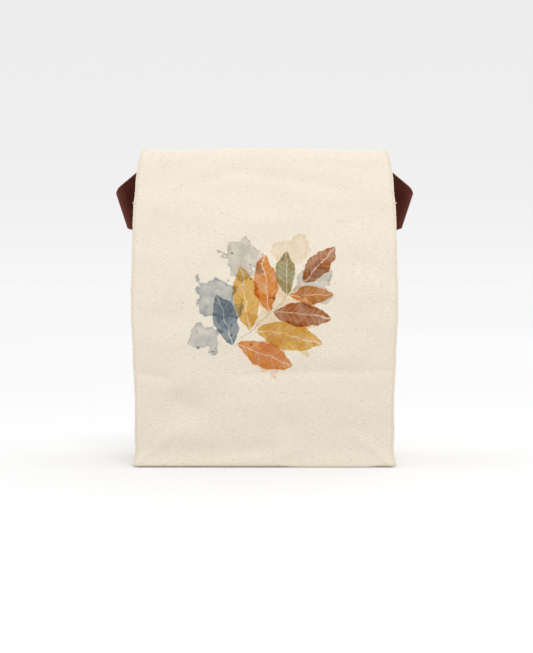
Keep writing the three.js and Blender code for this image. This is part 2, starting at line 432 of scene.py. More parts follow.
    def tuck(self, place: np.ndarray, x: np.ndarray) -> np.ndarray:
        """How far the back strip bellies into the hollow of the fold, where it closes the view through.

        Args:
            place: Places from the base to the mouth.
            x: Distances from the middle.

        Returns:
            Distances along the back strip's outward normal.
        """
        start, end = self.fold_span
        away = np.maximum(start - place, 0.0) + np.maximum(place - end, 0.0)
        full = self.tuck_share * (self.hollow - self.hollow_taper * away)
        depth = self.turn_tuck + (full - self.turn_tuck) * smoothstep(0.0, self.tuck_rise, away)
        turned = smoothstep(start, end, place)
        wall = hump(x + self.tuck_at, self.tuck_width) * (1 - turned)
        flap = hump(x - self.tuck_at, self.tuck_width) * turned
        return depth * (1 - smoothstep(*self.tuck_fall, away)) * (wall + flap)

    def carry(self, place: np.ndarray, x: np.ndarray) -> np.ndarray:
        """Shift that all layers share: the wavy crest, the flap's swell and the settled foot.

        Args:
            place: Places from the base to the mouth.
            x: Distances from the middle.

        Returns:
            Shifts in the side view, y and z.
        """
        station = self.at(place)
        ends = np.clip((np.abs(x) - self.droop_from) / self.droop_span, 0.0, None)
        crest = self.crest_wave * self.crest.at(x, x * self.crest_slant) - self.crest_droop * ends**3
        for dip in self.crest_dips:
            crest = crest - dip.depth * hump(x - dip.x, dip.width)
        foot = -self.foot_settle * smoothstep(*self.foot_rise, x) * (1 - smoothstep(*self.foot_fall, x))
        low = 1 - smoothstep(0.0, self.foot_height, place)
        shift = self.outward(Panel.FRONT, place) * self.flap_push(x, station[..., Track.FLAP])[..., None]
        shift[..., 1] += crest * station[..., Track.FOLD] + foot * low
        return shift


def border_spread(start: float, end: float, step: float) -> np.ndarray:
    """Places over a cloth, close together at both borders and about a step apart between them.

    Args:
        start: First border.
        end: Last border.
        step: Distance between places away from the borders.

    Returns:
        Increasing places.
    """
    count = max(2, round((end - start - 2 * BORDER_MARGIN) / step) + 1)
    inner = np.linspace(start + BORDER_MARGIN, end - BORDER_MARGIN, count)
    return np.concatenate([start + BORDER_PLACES, inner, end - BORDER_PLACES[::-1]])


def make_piece(
    name: str, points: np.ndarray, faces: list[tuple[int, ...]], cloth: np.ndarray
) -> bpy.types.Object:
    """Makes a smooth mesh object that rides on the sack.

    Args:
        name: Name of the piece.
        points: Vertices in millimetres.
        faces: Corner indices of each face.
        cloth: Place of each vertex on its flat cloth, in millimetres.

    Returns:
        The new object.
    """
    mesh = bpy.data.meshes.new(name)
    mesh.from_pydata((points * MM).tolist(), [], faces)
    layer = mesh.uv_layers.new(name=CLOTH_MAP)
    corners = np.empty(len(mesh.loops), dtype=np.int32)
    mesh.loops.foreach_get("vertex_index", corners)
    layer.data.foreach_set("uv", (cloth[corners] / CLOTH_MAP_UNIT).astype(np.float32).ravel())
    mesh.polygons.foreach_set("use_smooth", np.ones(len(mesh.polygons), dtype=bool))
    mesh.update()
    piece = bpy.data.objects.new(name, mesh)
    bpy.context.scene.collection.objects.link(piece)
    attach(piece, BODY)
    return piece


@dataclass
class Cloth:
    """A piece of cloth, as a curved surface over its flat cut: u across it and v along it."""

    name: str
    thickness: float = 1.0
    inset: float = 0.5
    column_step: float = 1.9
    row_step: float = 1.9
    rim_share: float = 0.3
    normal_reach: float = 0.3

    def span(self) -> tuple[float, float, float, float]:
        """First and last u, then first and last v, of the flat cut."""
        raise NotImplementedError

    def point(self, u: np.ndarray, v: np.ndarray) -> np.ndarray:
        """Points of the surface for places on the flat cut."""
        raise NotImplementedError

    def normal(self, u: np.ndarray, v: np.ndarray) -> np.ndarray:
        """Unit normals of the surface.

        Args:
            u: Places across the cloth.
            v: Places along the cloth.

        Returns:
            Normals that point away from the cloth's hidden face.
        """
        reach = self.normal_reach
        across = self.point(u + reach, v) - self.point(u - reach, v)
        along = self.point(u, v + reach) - self.point(u, v - reach)
        return unit(np.cross(across, along))

    def build(self) -> bpy.types.Object:
        """Makes the cloth with both faces and a rounded rim.

        Returns:
            The piece.
        """
        first_u, last_u, first_v, last_v = self.span()
        columns = border_spread(first_u, last_u, self.column_step)
        rows = border_spread(first_v, last_v, self.row_step)
        u, v = np.meshgrid(columns, rows)
        normal = self.normal(u, v)
        middle = self.point(u, v) - normal * self.inset
        edge = np.minimum.reduce([u - first_u, last_u - u, v - first_v, last_v - v])
        depth = 1 - np.clip(edge / (self.thickness / 2), 0.0, 1.0)
        half = self.thickness / 2 * np.maximum(np.sqrt(1 - depth**2), self.rim_share)
        faces = [middle + normal * half[..., None], middle - normal * half[..., None]]
        points = np.concatenate([face.reshape(-1, 3) for face in faces])
        cloth = np.tile(np.stack([u, v], axis=-1).reshape(-1, 2), (2, 1))
        return make_piece(self.name, points, self.shell_faces(*u.shape), cloth)

    @staticmethod
    def shell_faces(rows: int, columns: int) -> list[tuple[int, ...]]:
        """Faces of a closed shell of two grids and the rim between them.

        Args:
            rows: Rows of each grid.
            columns: Columns of each grid.

        Returns:
            Corner indices, first grid outwards.
        """
        index = np.arange(rows * columns).reshape(rows, columns)
        under = rows * columns
        corners = [index[:-1, :-1], index[:-1, 1:], index[1:, 1:], index[1:, :-1]]
        quads = np.stack(corners, axis=-1).reshape(-1, 4)
        border = np.concatenate([index[0, :-1], index[:-1, -1], index[-1, :0:-1], index[:0:-1, 0]])
        after = np.roll(border, -1)
        rim = np.stack([after, border, border + under, after + under], axis=-1)
        return np.concatenate([quads, quads[:, ::-1] + under, rim]).tolist()


@dataclass
class CornerCrease:
    """A crease that runs from a lower corner of a panel up towards its middle."""

    side: float
    height: float
    width: float
    length: float = 26.0
    lean: float = 43.0
    start: tuple[float, float] = (1.0, 6.0)
    fade_from: float = 0.4
    dent_share: float = 0.6
    dent_aside: float = 4.5
    dent_width: float = 3.2

    def relief(self, u: np.ndarray, v: np.ndarray, half: float) -> np.ndarray:
        """Height of the crease and of the dent above it.

        Args:
            u: Places across the panel.
            v: Places along the panel.
            half: Half the width of the panel.

        Returns:
            Heights.
        """
        inwards = half - self.side * u
        cos, sin = math.cos(math.radians(self.lean)), math.sin(math.radians(self.lean))
        along = inwards * cos + v * sin
        beside = v * cos - inwards * sin
        faded = smoothstep(self.length * self.fade_from, self.length, along)
        window = smoothstep(*self.start, along) * (1 - faded)
        dent = self.dent_share * hump(beside - self.dent_aside, self.dent_width)
        return window * self.height * (hump(beside, self.width) - dent)


@dataclass(frozen=True)
class Fold:
    """A soft ridge, or a trough where its height is below 0, along a line on the flat cloth."""

    start: tuple[float, float]
    end: tuple[float, float]
    height: float
    width: float
    fade: float = 0.8
    first_width: float = 0.7
    widening: float = 0.6

    def relief(self, u: np.ndarray, v: np.ndarray) -> np.ndarray:
        """Height of the fold, which fades out at both ends.

        Args:
            u: Places across the cloth.
            v: Places along the cloth.

        Returns:
            Heights.
        """
        run_u, run_v = self.end[0] - self.start[0], self.end[1] - self.start[1]
        length = math.hypot(run_u, run_v)
        along = ((u - self.start[0]) * run_u + (v - self.start[1]) * run_v) / length**2
        beside = ((u - self.start[0]) * run_v - (v - self.start[1]) * run_u) / length
        inside = np.clip(along, 0.0, 1.0)
        shown = np.sin(math.pi * inside) ** self.fade
        return self.height * shown * hump(beside, self.width * (self.first_width + self.widening * inside))


@dataclass(frozen=True)
class Dent:
    """A trough that runs across a panel, from left to right along a path."""

    path: tuple[tuple[float, float], ...]
    depth: float
    above: float
    below: float
    ends: tuple[float, float] = (30.0, 30.0)
    soften: float = 0.1

    def relief(self, u: np.ndarray, v: np.ndarray) -> np.ndarray:
        """Depth of the trough, which fades out at both ends.

        Args:
            u: Places across the panel.
            v: Places along the panel.

        Returns:
            Heights, none above 0.
        """
        places, levels = np.array(self.path).T
        beside = v - np.interp(u, places, levels)
        length = np.where(beside > 0, self.above, self.below)
        soft = np.sqrt(beside**2 + self.soften * length) - np.sqrt(self.soften * length)
        shown = smoothstep(places[0], places[0] + self.ends[0], u)
        shown = shown * (1 - smoothstep(places[-1] - self.ends[1], places[-1], u))
        return -self.depth * shown * np.exp(-soft / length)


@dataclass
class PanelCloth(Cloth):
    """The front or back strip of canvas, from the base over the fold to the mouth."""

    panel: Panel = Panel.FRONT
    shape: SackShape = field(default_factory=SackShape)
    half: float = PANEL_HALF
    swell: float = 0.34
    seed: int = 3
    stitch_inset: float = 1.7
    stitch_pitch: float = 3.2
    slack_pull: float = 0.7
    stitch_pull: float = 0.3
    groove_depth: float = 0.08
    groove_width: float = 0.55
    roll_at: float = 0.7
    roll_width: float = 0.5
    roll_height: float = 0.02
    edge_wave: float = 0.28
    edge_pull: float = 0.09
    edge_reach: float = 5.0
    hem: float = 10.0
    hem_height: float = 0.3
    hem_step: float = 0.6
    hem_stitch: float = 1.4
    hem_groove: float = 0.25
    hem_groove_width: float = 0.6
    ripple_share: float = 2.0
    fine_share: float = 0.35
    side_free: tuple[float, float] = (0.5, 16.0)
    foot_free: tuple[float, float] = (1.0, 12.0)
    cover_fade: float = 25.0
    dent_edge: float = 5.0
    fold_edge: float = 7.0
    creases: tuple[CornerCrease, ...] = ()
    dents: tuple[Dent, ...] = ()
    folds: tuple[Fold, ...] = ()
    covered_from: float = 400.0
    ripples: Ripples = field(init=False)
    fine: Ripples = field(init=False)
    edge: Ripples = field(init=False)

    def __post_init__(self) -> None:
        """Draws the seeded waves."""
        self.ripples = Ripples(self.seed, count=16, wavelengths=(22.0, 95.0), across=0.42)
        self.fine = Ripples(self.seed + 1, count=14, wavelengths=(9.0, 21.0), across=0.8)
        self.edge = Ripples(self.seed + 2, count=7, wavelengths=(14.0, 60.0), across=0.0)

    def run_at(self, height: float) -> float:
        """Length of the strip from its lower edge up to a height below the fold.

        Args:
            height: Height above the floor.

        Returns:
            Length along the strip.
        """
        rising = self.shape.outline(self.panel, self.shape.places)[:, 1]
        top = int(np.argmax(rising))
        return float(np.interp(height, rising[:top], self.shape.runs[self.panel][:top]))

    def span(self) -> tuple[float, float, float, float]:
        """The strip's width and length."""
        return -self.half, self.half, 0.0, float(self.shape.runs[self.panel][-1])

    def pull(self, run: np.ndarray) -> np.ndarray:
        """How hard the thread draws the cloth in, at lengths along a row of stitches."""
        return self.slack_pull + self.stitch_pull * np.cos(2 * math.pi * run / self.stitch_pitch)

    def relief(self, u: np.ndarray, v: np.ndarray) -> np.ndarray:
        """How far the cloth stands out of its smooth shape: waves, creases, hem and seam grooves.

        Args:
            u: Places across the strip.
            v: Places along the strip.

        Returns:
            Heights along the outward normal.
        """
        from_side = self.half - np.abs(u)
        free = smoothstep(*self.side_free, from_side) * smoothstep(*self.foot_free, v)
        free = free * (1 - smoothstep(self.covered_from - self.cover_fade, self.covered_from, v))
        waves = 1 + self.ripple_share * self.ripples.at(u, v) + self.fine_share * self.fine.at(u, v)
        height = self.swell * free * waves
        for crease in self.creases:
            height = height + crease.relief(u, v, self.half)
        for dent in self.dents:
            height = height + dent.relief(u, v) * smoothstep(0.0, self.dent_edge, from_side)
        for fold in self.folds:
            height = height + fold.relief(u, v) * smoothstep(0.0, self.fold_edge, from_side)
        groove = hump(from_side - self.stitch_inset, self.groove_width) * self.pull(v)
        roll = hump(from_side - self.roll_at, self.roll_width)
        height = height - self.groove_depth * groove + self.roll_height * roll
        if self.panel is Panel.FRONT:
            from_mouth = self.span()[3] - v
            turned = 1 - smoothstep(self.hem - self.hem_step, self.hem + self.hem_step, from_mouth)
            drawn = self.hem_groove * hump(from_mouth - self.hem + self.hem_stitch, self.hem_groove_width)
            height = height + self.hem_height * turned - drawn * self.pull(u)
        return height

    def point(self, u: np.ndarray, v: np.ndarray) -> np.ndarray:
        """Points of the outer face.

        Args:
            u: Places across the strip.
            v: Places along the strip.

        Returns:
            Points.
        """
        place = self.shape.place_at(self.panel, v)
        station = self.shape.at(place)
        share = u / self.half
        stitched = np.cos(2 * math.pi * v / self.stitch_pitch)
        pucker = self.edge_wave * self.edge.at(np.zeros_like(u), v) + self.edge_pull * stitched
        x = share * station[..., Track.HALF_WIDTH]
        x = x + np.sign(u) * pucker * hump(self.half - np.abs(u), self.edge_reach)
        if self.panel is Panel.BACK:
            x = -x
        outward = self.shape.outward(self.panel, place)
        out = station[..., Track.CROWN] * np.clip(1 - share**2, 0.0, None) + self.relief(u, v)
        if self.panel is Panel.BACK:
            out = out + self.shape.tuck(place, x)
        side = self.shape.outline(self.panel, place) + outward * out[..., None] + self.shape.carry(place, x)
        return np.concatenate([x[..., None], side], axis=-1)


@dataclass
class GussetCloth(Cloth):
    """A side wall that sinks in between the panels and is pressed flat in the fold."""

    side: Side = Side.LEFT
    shape: SackShape = field(default_factory=SackShape)
    half: float = 53.5
    edge_inset: float = 0.2
    seam_stack: float = 2.08
    flange: float = 2.5
    foot_flange: float = 0.6
    flange_grow: tuple[float, float] = (1.0, 10.0)
    tap: float = 0.014
    tap_share: float = 0.3
    wave: float = 0.5
    side_free: tuple[float, float] = (2.0, 14.0)
    foot_free: tuple[float, float] = (2.0, 16.0)
    pressed: tuple[float, float] = (110.0, 175.0)
    pressed_share: float = 0.85
    fold_edge: tuple[float, float] = (1.0, 8.0)
    flattened_dip: float = 45.0
    apex: float = 57.0
    base_fold: float = 1.7
    base_fold_width: float = 1.6
    base_fold_lean: float = 0.7
    base_fold_start: float = 8.0
    base_fold_end: tuple[float, float] = (-4.0, 6.0)
    base_dent: float = 0.9
    base_dent_aside: float = 4.8
    base_dent_width: float = 3.2
    middle_crease: float = 2.2
    middle_crease_width: float = 1.9
    middle_crease_start: tuple[float, float] = (-14.0, 16.0)
    middle_crease_end: tuple[float, float] = (105.0, 140.0)
    sway_size: float = 1.4
    sway_rise: tuple[float, float] = (60.0, 110.0)
    sway_fall: tuple[float, float] = (140.0, 190.0)
    seed: int = 11
    folds: tuple[Fold, ...] = ()
    ripples: Ripples = field(init=False)
    sway: Ripples = field(init=False)

    def __post_init__(self) -> None:
        """Draws the seeded waves."""
        self.ripples = Ripples(self.seed, count=14, wavelengths=(20.0, 70.0), across=0.8)
        self.sway = Ripples(self.seed + 1, count=8, wavelengths=(38.0, 90.0), across=0.7)

    def span(self) -> tuple[float, float, float, float]:
        """The wall's width and length."""
        return -self.half, self.half, 0.0, self.shape.length

    @staticmethod
    def section(
        share: np.ndarray, gap: np.ndarray, station: np.ndarray, flange: np.ndarray
    ) -> np.ndarray:
        """One half of the wall's section: rounded fold, straight leg and seam flange.

        Args:
            share: Shares of the way from the middle fold to the edge.
            gap: Half the distance between the two seams.
            station: Station values.
            flange: Width of the seam flange.

        Returns:
            Distances from the middle fold's plane, and inwards from the edge.
        """
        crease = station[..., Track.CREASE]
        centre = station[..., Track.DIP] - crease - flange
        reach = np.hypot(gap, centre)
        turn = np.arctan2(centre, gap) + np.arcsin(np.clip(crease / reach, 0.0, 1.0))
        leg = np.sqrt(np.maximum(reach**2 - crease**2, 0.0))
        arc = crease * turn
        total = arc + leg + flange
        run = share * total
        bent = np.clip(run, None, arc) / crease
        on_leg = np.clip(run - arc, 0.0, leg)
        on_flange = np.clip(run - arc - leg, 0.0, None)
        across = crease * np.sin(bent) + on_leg * np.cos(turn)
        inwards = centre + crease * np.cos(bent) - on_leg * np.sin(turn) + flange - on_flange
        return np.stack([across, inwards], axis=-1)

    def relief(self, u: np.ndarray, v: np.ndarray) -> np.ndarray:
        """Waves of the free cloth and the creases of the flat-folded base.

        Args:
            u: Places across the wall.
            v: Places along the wall.

        Returns:
            Heights along the outward normal.
        """
        from_side = self.half - np.abs(u)
        free = smoothstep(*self.side_free, from_side) * smoothstep(*self.foot_free, v)
        free = free * (1 - self.pressed_share * smoothstep(*self.pressed, v))
        height = self.wave * free * self.ripples.at(u, v)
        for fold in self.folds:
            height = height + fold.relief(u, v) * smoothstep(*self.fold_edge, from_side)
        beside = (v - self.apex * (1 - np.abs(u) / self.half)) * self.base_fold_lean
        ridge = self.base_fold * hump(beside, self.base_fold_width)
        dent = self.base_dent * hump(beside - self.base_dent_aside, self.base_dent_width)
        low = 1 - smoothstep(*(self.apex + step for step in self.base_fold_end), v)
        folded = (ridge - dent) * low * smoothstep(0.0, self.base_fold_start, v)
        above = smoothstep(*(self.apex + step for step in self.middle_crease_start), v)
        above = above * (1 - smoothstep(*self.middle_crease_end, v))
        return height + folded - self.middle_crease * above * hump(u, self.middle_crease_width)

    def point(self, u: np.ndarray, v: np.ndarray) -> np.ndarray:
        """Points of the face that looks out of the sack.

        Args:
            u: Places across the wall.
            v: Places along the wall.

        Returns:
            Points.
        """
        sign = self.side.value
        station = self.shape.at(v)
        inset = self.seam_stack
        front = self.shape.outline(Panel.FRONT, v) - inset * self.shape.outward(Panel.FRONT, v)
        back = self.shape.outline(Panel.BACK, v) - inset * self.shape.outward(Panel.BACK, v)
        gap = np.linalg.norm(front - back, axis=-1) / 2
        flange = self.foot_flange + (self.flange - self.foot_flange) * smoothstep(*self.flange_grow, v)
        share = np.abs(u) / self.half
        before, here, after = (
            self.section(np.clip(share + step, None, 1.0), gap, station, flange)
            for step in (-self.tap, 0.0, self.tap)
        )
        soft = np.clip(share / self.tap, 0.0, 1.0)[..., None]
        section = here * (1 - 2 * self.tap_share * soft) + self.tap_share * soft * (before + after)
        shown = np.clip(1 - station[..., Track.DIP] / self.flattened_dip, 0.0, 1.0)
        inwards = section[..., 1] - self.relief(u, v) * shown
        free = smoothstep(*self.sway_rise, v) * (1 - smoothstep(*self.sway_fall, v))
        belly = np.sin(math.pi * np.clip(share, 0.0, 1.0)) ** 2
        across = section[..., 0] + self.sway_size * free * belly * self.sway.at(u, v)
        x = sign * (station[..., Track.HALF_WIDTH] - self.edge_inset - inwards)
        to_front = unit(front - back) * (-sign * np.sign(u) * across)[..., None]
        place = (front + back) / 2 + to_front + self.shape.carry(v, x)
        return np.concatenate([x[..., None], place], axis=-1)


@dataclass
class BaseCloth(Cloth):
    """The flat base under the walls."""

    inset: float = 0.0
    width: float = 178.8
    depth: float = 100.8
    corner: float = 4.0
    clearance: float = 0.02
    seam_inset: float = 3.0
    seam_width: float = 1.1
    seam_draw: float = 0.45
    slack: float = 0.3
    slack_rise: tuple[float, float] = (6.0, 25.0)
    seed: int = 23
    ripples: Ripples = field(init=False)

    def __post_init__(self) -> None:
        """Draws the seeded waves."""
        self.ripples = Ripples(self.seed, count=12, wavelengths=(30.0, 80.0), across=1.0)

    def span(self) -> tuple[float, float, float, float]:
        """The base's width and depth."""
        return -self.width / 2, self.width / 2, -self.depth / 2, self.depth / 2

    def point(self, u: np.ndarray, v: np.ndarray) -> np.ndarray:
        """Points of the middle of the cloth, with rounded corners.

        Args:
            u: Places across the base.
            v: Places along the base.

        Returns:
            Points.
        """
        over_u = np.clip((np.abs(u) - self.width / 2 + self.corner) / self.corner, 0.0, None)
        over_v = np.clip((np.abs(v) - self.depth / 2 + self.corner) / self.corner, 0.0, None)
        x = u - np.sign(u) * self.corner * over_u * (1 - np.sqrt(np.clip(1 - over_v**2 / 2, 0.0, None)))
        y = v - np.sign(v) * self.corner * over_v * (1 - np.sqrt(np.clip(1 - over_u**2 / 2, 0.0, None)))
        from_side, from_end = self.width / 2 - np.abs(u), self.depth / 2 - np.abs(v)
        inside = smoothstep(*self.slack_rise, from_side) * smoothstep(*self.slack_rise, from_end)
        drawn = self.seam_draw * hump(np.minimum(from_side, from_end) - self.seam_inset, self.seam_width)
        level = self.thickness / 2 + self.clearance
        z = level + drawn + self.slack * inside * (1 + self.ripples.at(u, v))
        return np.stack([x, y, z], axis=-1)


@dataclass
class StrapCloth(Cloth):
    """Webbing that crosses the flap, folds round both sides and is sewn into the side walls."""

    thickness: float = 1.6
    inset: float = 0.0
    column_step: float = 2.0
    row_step: float = 1.3
    shape: SackShape = field(default_factory=SackShape)
    width: float = 30.0
    height: float = 175.3
    rise: float = 8.0
    reach: float = 105.3
    sag_power: float = 3.1
    fold_lean: float = 15.0
    seat_gap: float = 0.42
    bend_radius: float = 6.1
    bend_turn: float = 165.0
    tail: float = 32.0
    fold_draw: float = 2.6
    draw_power: float = 2.5
    draw_from: float = 0.3
    leave_turn: float = 0.25

    @property
    def end(self) -> float:
        """Length of webbing from the middle of the back to a sewn end."""
        return self.reach + self.bend_radius * math.radians(self.bend_turn) / 2 + self.tail

    def span(self) -> tuple[float, float, float, float]:
        """The strap's width and length."""
        return -self.width / 2, self.width / 2, -self.end, self.end

    def flat(self, run: np.ndarray, across: np.ndarray) -> np.ndarray:
        """Place of the band in the flap's plane before it is bent.

        Args:
            run: Lengths along the band from the middle of the back.
            across: Distances up from the band's middle line.

        Returns:
            Places to the side and up.
        """
        sagging = np.minimum(run, self.reach)
        slope = self.sag_power * self.rise / self.reach * (sagging / self.reach) ** (self.sag_power - 1)
        level = self.rise * (sagging / self.reach) ** self.sag_power + slope * (run - sagging)
        up = unit(np.stack([-slope, np.ones_like(slope)], axis=-1))
        return np.stack([run, level], axis=-1) + up * across[..., None]

    def point(self, u: np.ndarray, v: np.ndarray) -> np.ndarray:
        """Points of the middle of the webbing.

        Args:
            u: Places across the band.
            v: Places along the band.

        Returns:
            Points.
        """
        lean = math.radians(self.fold_lean)
        out = np.array([math.cos(lean), -math.sin(lean)])
        down_fold = np.array([-math.sin(lean), -math.cos(lean)])
        turn = math.radians(self.bend_turn)
        start = float(np.array([self.reach, self.rise]) @ out) - self.bend_radius - self.thickness / 2
        square = self.flat(np.abs(v), u) @ out
        bent = np.clip((square - start) / self.bend_radius, 0.0, turn)
        outer = smoothstep(self.draw_from, 1.0, np.abs(u) * 2 / self.width)
        drawn = self.fold_draw * np.sin(bent) ** self.draw_power * outer
        flat = self.flat(np.abs(v), u - np.sign(u) * drawn)
        after = np.clip(square - start - self.bend_radius * turn, 0.0, None)
        reach = np.minimum(square, start) + self.bend_radius * np.sin(bent) + after * math.cos(turn)
        sunk = self.bend_radius * (1 - np.cos(bent)) + after * math.sin(turn)
        plan = reach[..., None] * out + (flat @ down_fold)[..., None] * down_fold

        shape = self.shape
        origin = shape.fold_point(shape.front_radius, shape.fold_end_turn)
        down = shape.heading(shape.fold_end_turn)
        away = np.array([-down[1], down[0]])
        along = (self.height - origin[1]) / down[1] - plan[..., 1]
        on_flap = 1 - smoothstep(0.0, self.leave_turn, bent)
        push = shape.flap_push(plan[..., 0] * np.sign(v), along / shape.flap_length) * on_flap
        lift = push + self.seat_gap + self.thickness / 2 - sunk
        side = origin + along[..., None] * down + lift[..., None] * away
        x = np.where(v < 0, -1.0, 1.0) * plan[..., 0]
        return np.concatenate([x[..., None], side], axis=-1)


@dataclass
class Stitching:
    """Rows of sewing thread laid over a cloth."""

    name: str
    pitch: float = 3.2
    share: float = 0.76
    radius: float = 0.25
    sides: int = 6
    rings: list[np.ndarray] = field(default_factory=list)
    runs: list[np.ndarray] = field(default_factory=list)

    def row(self, cloth: Cloth, path: np.ndarray, face: float = 1.0) -> None:
        """Sews one row along a path.

        Args:
            cloth: What the row is sewn on.
            path: Points of the path on the flat cut, u and v.
            face: 1 for the outer face, -1 for the other one.
        """
        runs = np.concatenate([[0.0], np.cumsum(np.linalg.norm(np.diff(path, axis=0), axis=1))])
        count = max(1, int(runs[-1] / self.pitch))
        starts = (np.arange(count) + 0.5 * (1 - self.share)) * runs[-1] / count
        along = np.array([0.0, 0.16, 0.5, 0.84, 1.0])
        lifts = np.array([-0.2, 0.1, 0.2, 0.1, -0.2])
        sizes = np.array([0.6, 0.95, 1.05, 0.95, 0.6]) * self.radius
        places = starts[:, None] + along * self.share * runs[-1] / count
        u = np.interp(places, runs, path[:, 0])
        v = np.interp(places, runs, path[:, 1])
        normal = cloth.normal(u, v) * face
        skin = cloth.thickness / 2 - cloth.inset * face
        centre = cloth.point(u, v) + normal * (skin + lifts[:, None])
        forward = unit(np.gradient(centre, axis=1))
        beside = unit(np.cross(forward, normal))
        up = np.cross(beside, forward)
        angles = np.arange(self.sides) * 2 * math.pi / self.sides
        spoke = np.cos(angles)[:, None] * beside[..., None, :] + np.sin(angles)[:, None] * up[..., None, :]
        self.rings.append(centre[..., None, :] + spoke * sizes[:, None, None])
        self.runs.append(np.broadcast_to(places[..., None], self.rings[-1].shape[:-1]))

    def frame(
        self, cloth: Cloth, low: tuple[float, float], high: tuple[float, float], face: float = 1.0
    ) -> None:
        """Sews a rectangle, one row for each side.

        Args:
            cloth: What it is sewn on.
            low: First corner on the flat cut, u and v.
            high: Opposite corner.
            face: 1 for the outer face, -1 for the other one.
        """
        corners = np.array([low, (high[0], low[1]), high, (low[0], high[1]), low])
        for start, end in zip(corners[:-1], corners[1:]):
            self.row(cloth, np.array([start, end]), face)

    def build(self) -> bpy.types.Object:
        """Makes all rows as one piece.

        Returns:
            The piece.
        """
        rings = np.concatenate(self.rings)
        runs = np.concatenate(self.runs)
        stitches, sections, sides = rings.shape[:3]
        index = np.arange(stitches * sections * sides).reshape(stitches, sections, sides)
        ahead = np.roll(index, -1, axis=2)
        corners = [index[:, :-1], ahead[:, :-1], ahead[:, 1:], index[:, 1:]]
        walls = np.stack(corners, axis=-1).reshape(-1, 4)
        ends = np.concatenate([index[:, 0, ::-1], index[:, -1]])
        round_about = np.broadcast_to(np.linspace(0.0, 2 * math.pi * self.radius, sides), runs.shape)
        cloth = np.stack([round_about, runs], axis=-1).reshape(-1, 2)
        return make_piece(self.name, rings.reshape(-1, 3), walls.tolist() + ends.tolist(), cloth)


Feed = bpy.types.NodeSocket | float | tuple


class NodeSketch:
    """Lays out nodes in one tree."""

    def __init__(self, tree: bpy.types.NodeTree) -> None:
        """Takes the tree to fill."""
        self.tree = tree

    def feed(self, socket: bpy.types.NodeSocket, value: Feed) -> None:
        """Links or sets an input socket.

        Args:
            socket: The input.
            value: Output to link, or plain value to set.
        """
        if isinstance(value, bpy.types.NodeSocket):
            self.tree.links.new(value, socket)
        else:
            socket.default_value = value

    def add(
        self, kind: str, feeds: dict[str | int, Feed] | None = None, **settings: object
    ) -> bpy.types.Node:
        """Adds a node.

        Args:
            kind: Blender's name of the node type.
            feeds: Values or links for its inputs, by name or index.
            settings: Properties of the node.

        Returns:
            The node.
        """
        node = self.tree.nodes.new(kind)
        for key, value in settings.items():
            setattr(node, key, value)
        for key, value in (feeds or {}).items():
            self.feed(node.inputs[key], value)
        return node

    def math(self, operation: str, *values: Feed) -> bpy.types.NodeSocket:
        """A Math node on the given values."""
        return self.add("ShaderNodeMath", dict(enumerate(values)), operation=operation).outputs[0]

    def vector(self, operation: str, *values: Feed) -> bpy.types.NodeSocket:
        """A Vector Math node on the given values."""
        return self.add("ShaderNodeVectorMath", dict(enumerate(values)), operation=operation).outputs[0]

    def rise(
        self, value: Feed, low: Feed, high: Feed, start: Feed = 0.0, end: Feed = 1.0
    ) -> bpy.types.NodeSocket:
        """A soft rise from start to end while the value goes from low to high."""
        feeds = {"Value": value, "From Min": low, "From Max": high, "To Min": start, "To Max": end}
        return self.add("ShaderNodeMapRange", feeds, interpolation_type="SMOOTHSTEP").outputs[0]

    def blend(self, share: Feed, first: Feed, second: Feed, kind: str = "MIX") -> bpy.types.NodeSocket:
        """A colour between two others, or one laid over the other."""
        node = self.add("ShaderNodeMix", {0: share, 6: first, 7: second}, data_type="RGBA", blend_type=kind)
        return node.outputs[2]

    def noise(self, place: Feed, scale: float, detail: float = 2.0) -> bpy.types.Node:
        """A noise texture on a place."""
        return self.add("ShaderNodeTexNoise", {"Vector": place, "Scale": scale, "Detail": detail})

    def cloth_place(self) -> bpy.types.NodeSocket:
        """Place on the flat cloth, in millimetres."""
        cloth = self.add("ShaderNodeUVMap", uv_map=CLOTH_MAP).outputs[0]
        return self.vector("MULTIPLY", cloth, (CLOTH_MAP_UNIT, CLOTH_MAP_UNIT, CLOTH_MAP_UNIT))

    def split(self, place: Feed) -> list[bpy.types.NodeSocket]:
        """The three parts of a place."""
        return list(self.add("ShaderNodeSeparateXYZ", {0: place}).outputs)

    def length(self, place: Feed) -> bpy.types.NodeSocket:
        """Distance of a place from the origin."""
        return self.add("ShaderNodeVectorMath", {0: place}, operation="LENGTH").outputs["Value"]

    def group(self, tree: bpy.types.NodeTree, **feeds: Feed) -> bpy.types.Node:
        """Places a node group, with values or links for its inputs by name."""
        return self.add("ShaderNodeGroup", feeds, node_tree=tree)


class Effect:
    """A shader node group with named sockets."""

    def __init__(self, name: str, inputs: dict[str, str], outputs: dict[str, str]) -> None:
        """Makes the group and its sockets.

        Args:
            name: Name of the group.
            inputs: Socket kind of each input, by name.
            outputs: Socket kind of each output, by name.
        """
        self.tree = bpy.data.node_groups.new(name, "ShaderNodeTree")
        for label, kind in inputs.items():
            self.tree.interface.new_socket(label, in_out="INPUT", socket_type=f"NodeSocket{kind}")
        for label, kind in outputs.items():
            self.tree.interface.new_socket(label, in_out="OUTPUT", socket_type=f"NodeSocket{kind}")
        self.sketch = NodeSketch(self.tree)
        self.given = self.sketch.add("NodeGroupInput").outputs
        self.result = self.sketch.add("NodeGroupOutput").inputs

    def give(self, **sockets: bpy.types.NodeSocket) -> bpy.types.NodeTree:
        """Links the group's outputs.

        Args:
            sockets: What each output gives, by name.

        Returns:
            Tree of the group.
        """
        for label, socket in sockets.items():
            self.sketch.feed(self.result[label], socket)
        return self.tree


Colour = tuple[float, float, float, float]


@dataclass(frozen=True)
class Fleck:
    """Flecks of one size, scattered one to a cell: cells in each millimetre, chance of none and size."""

    cells: tuple[float, float, float]
    share: float
    size: float


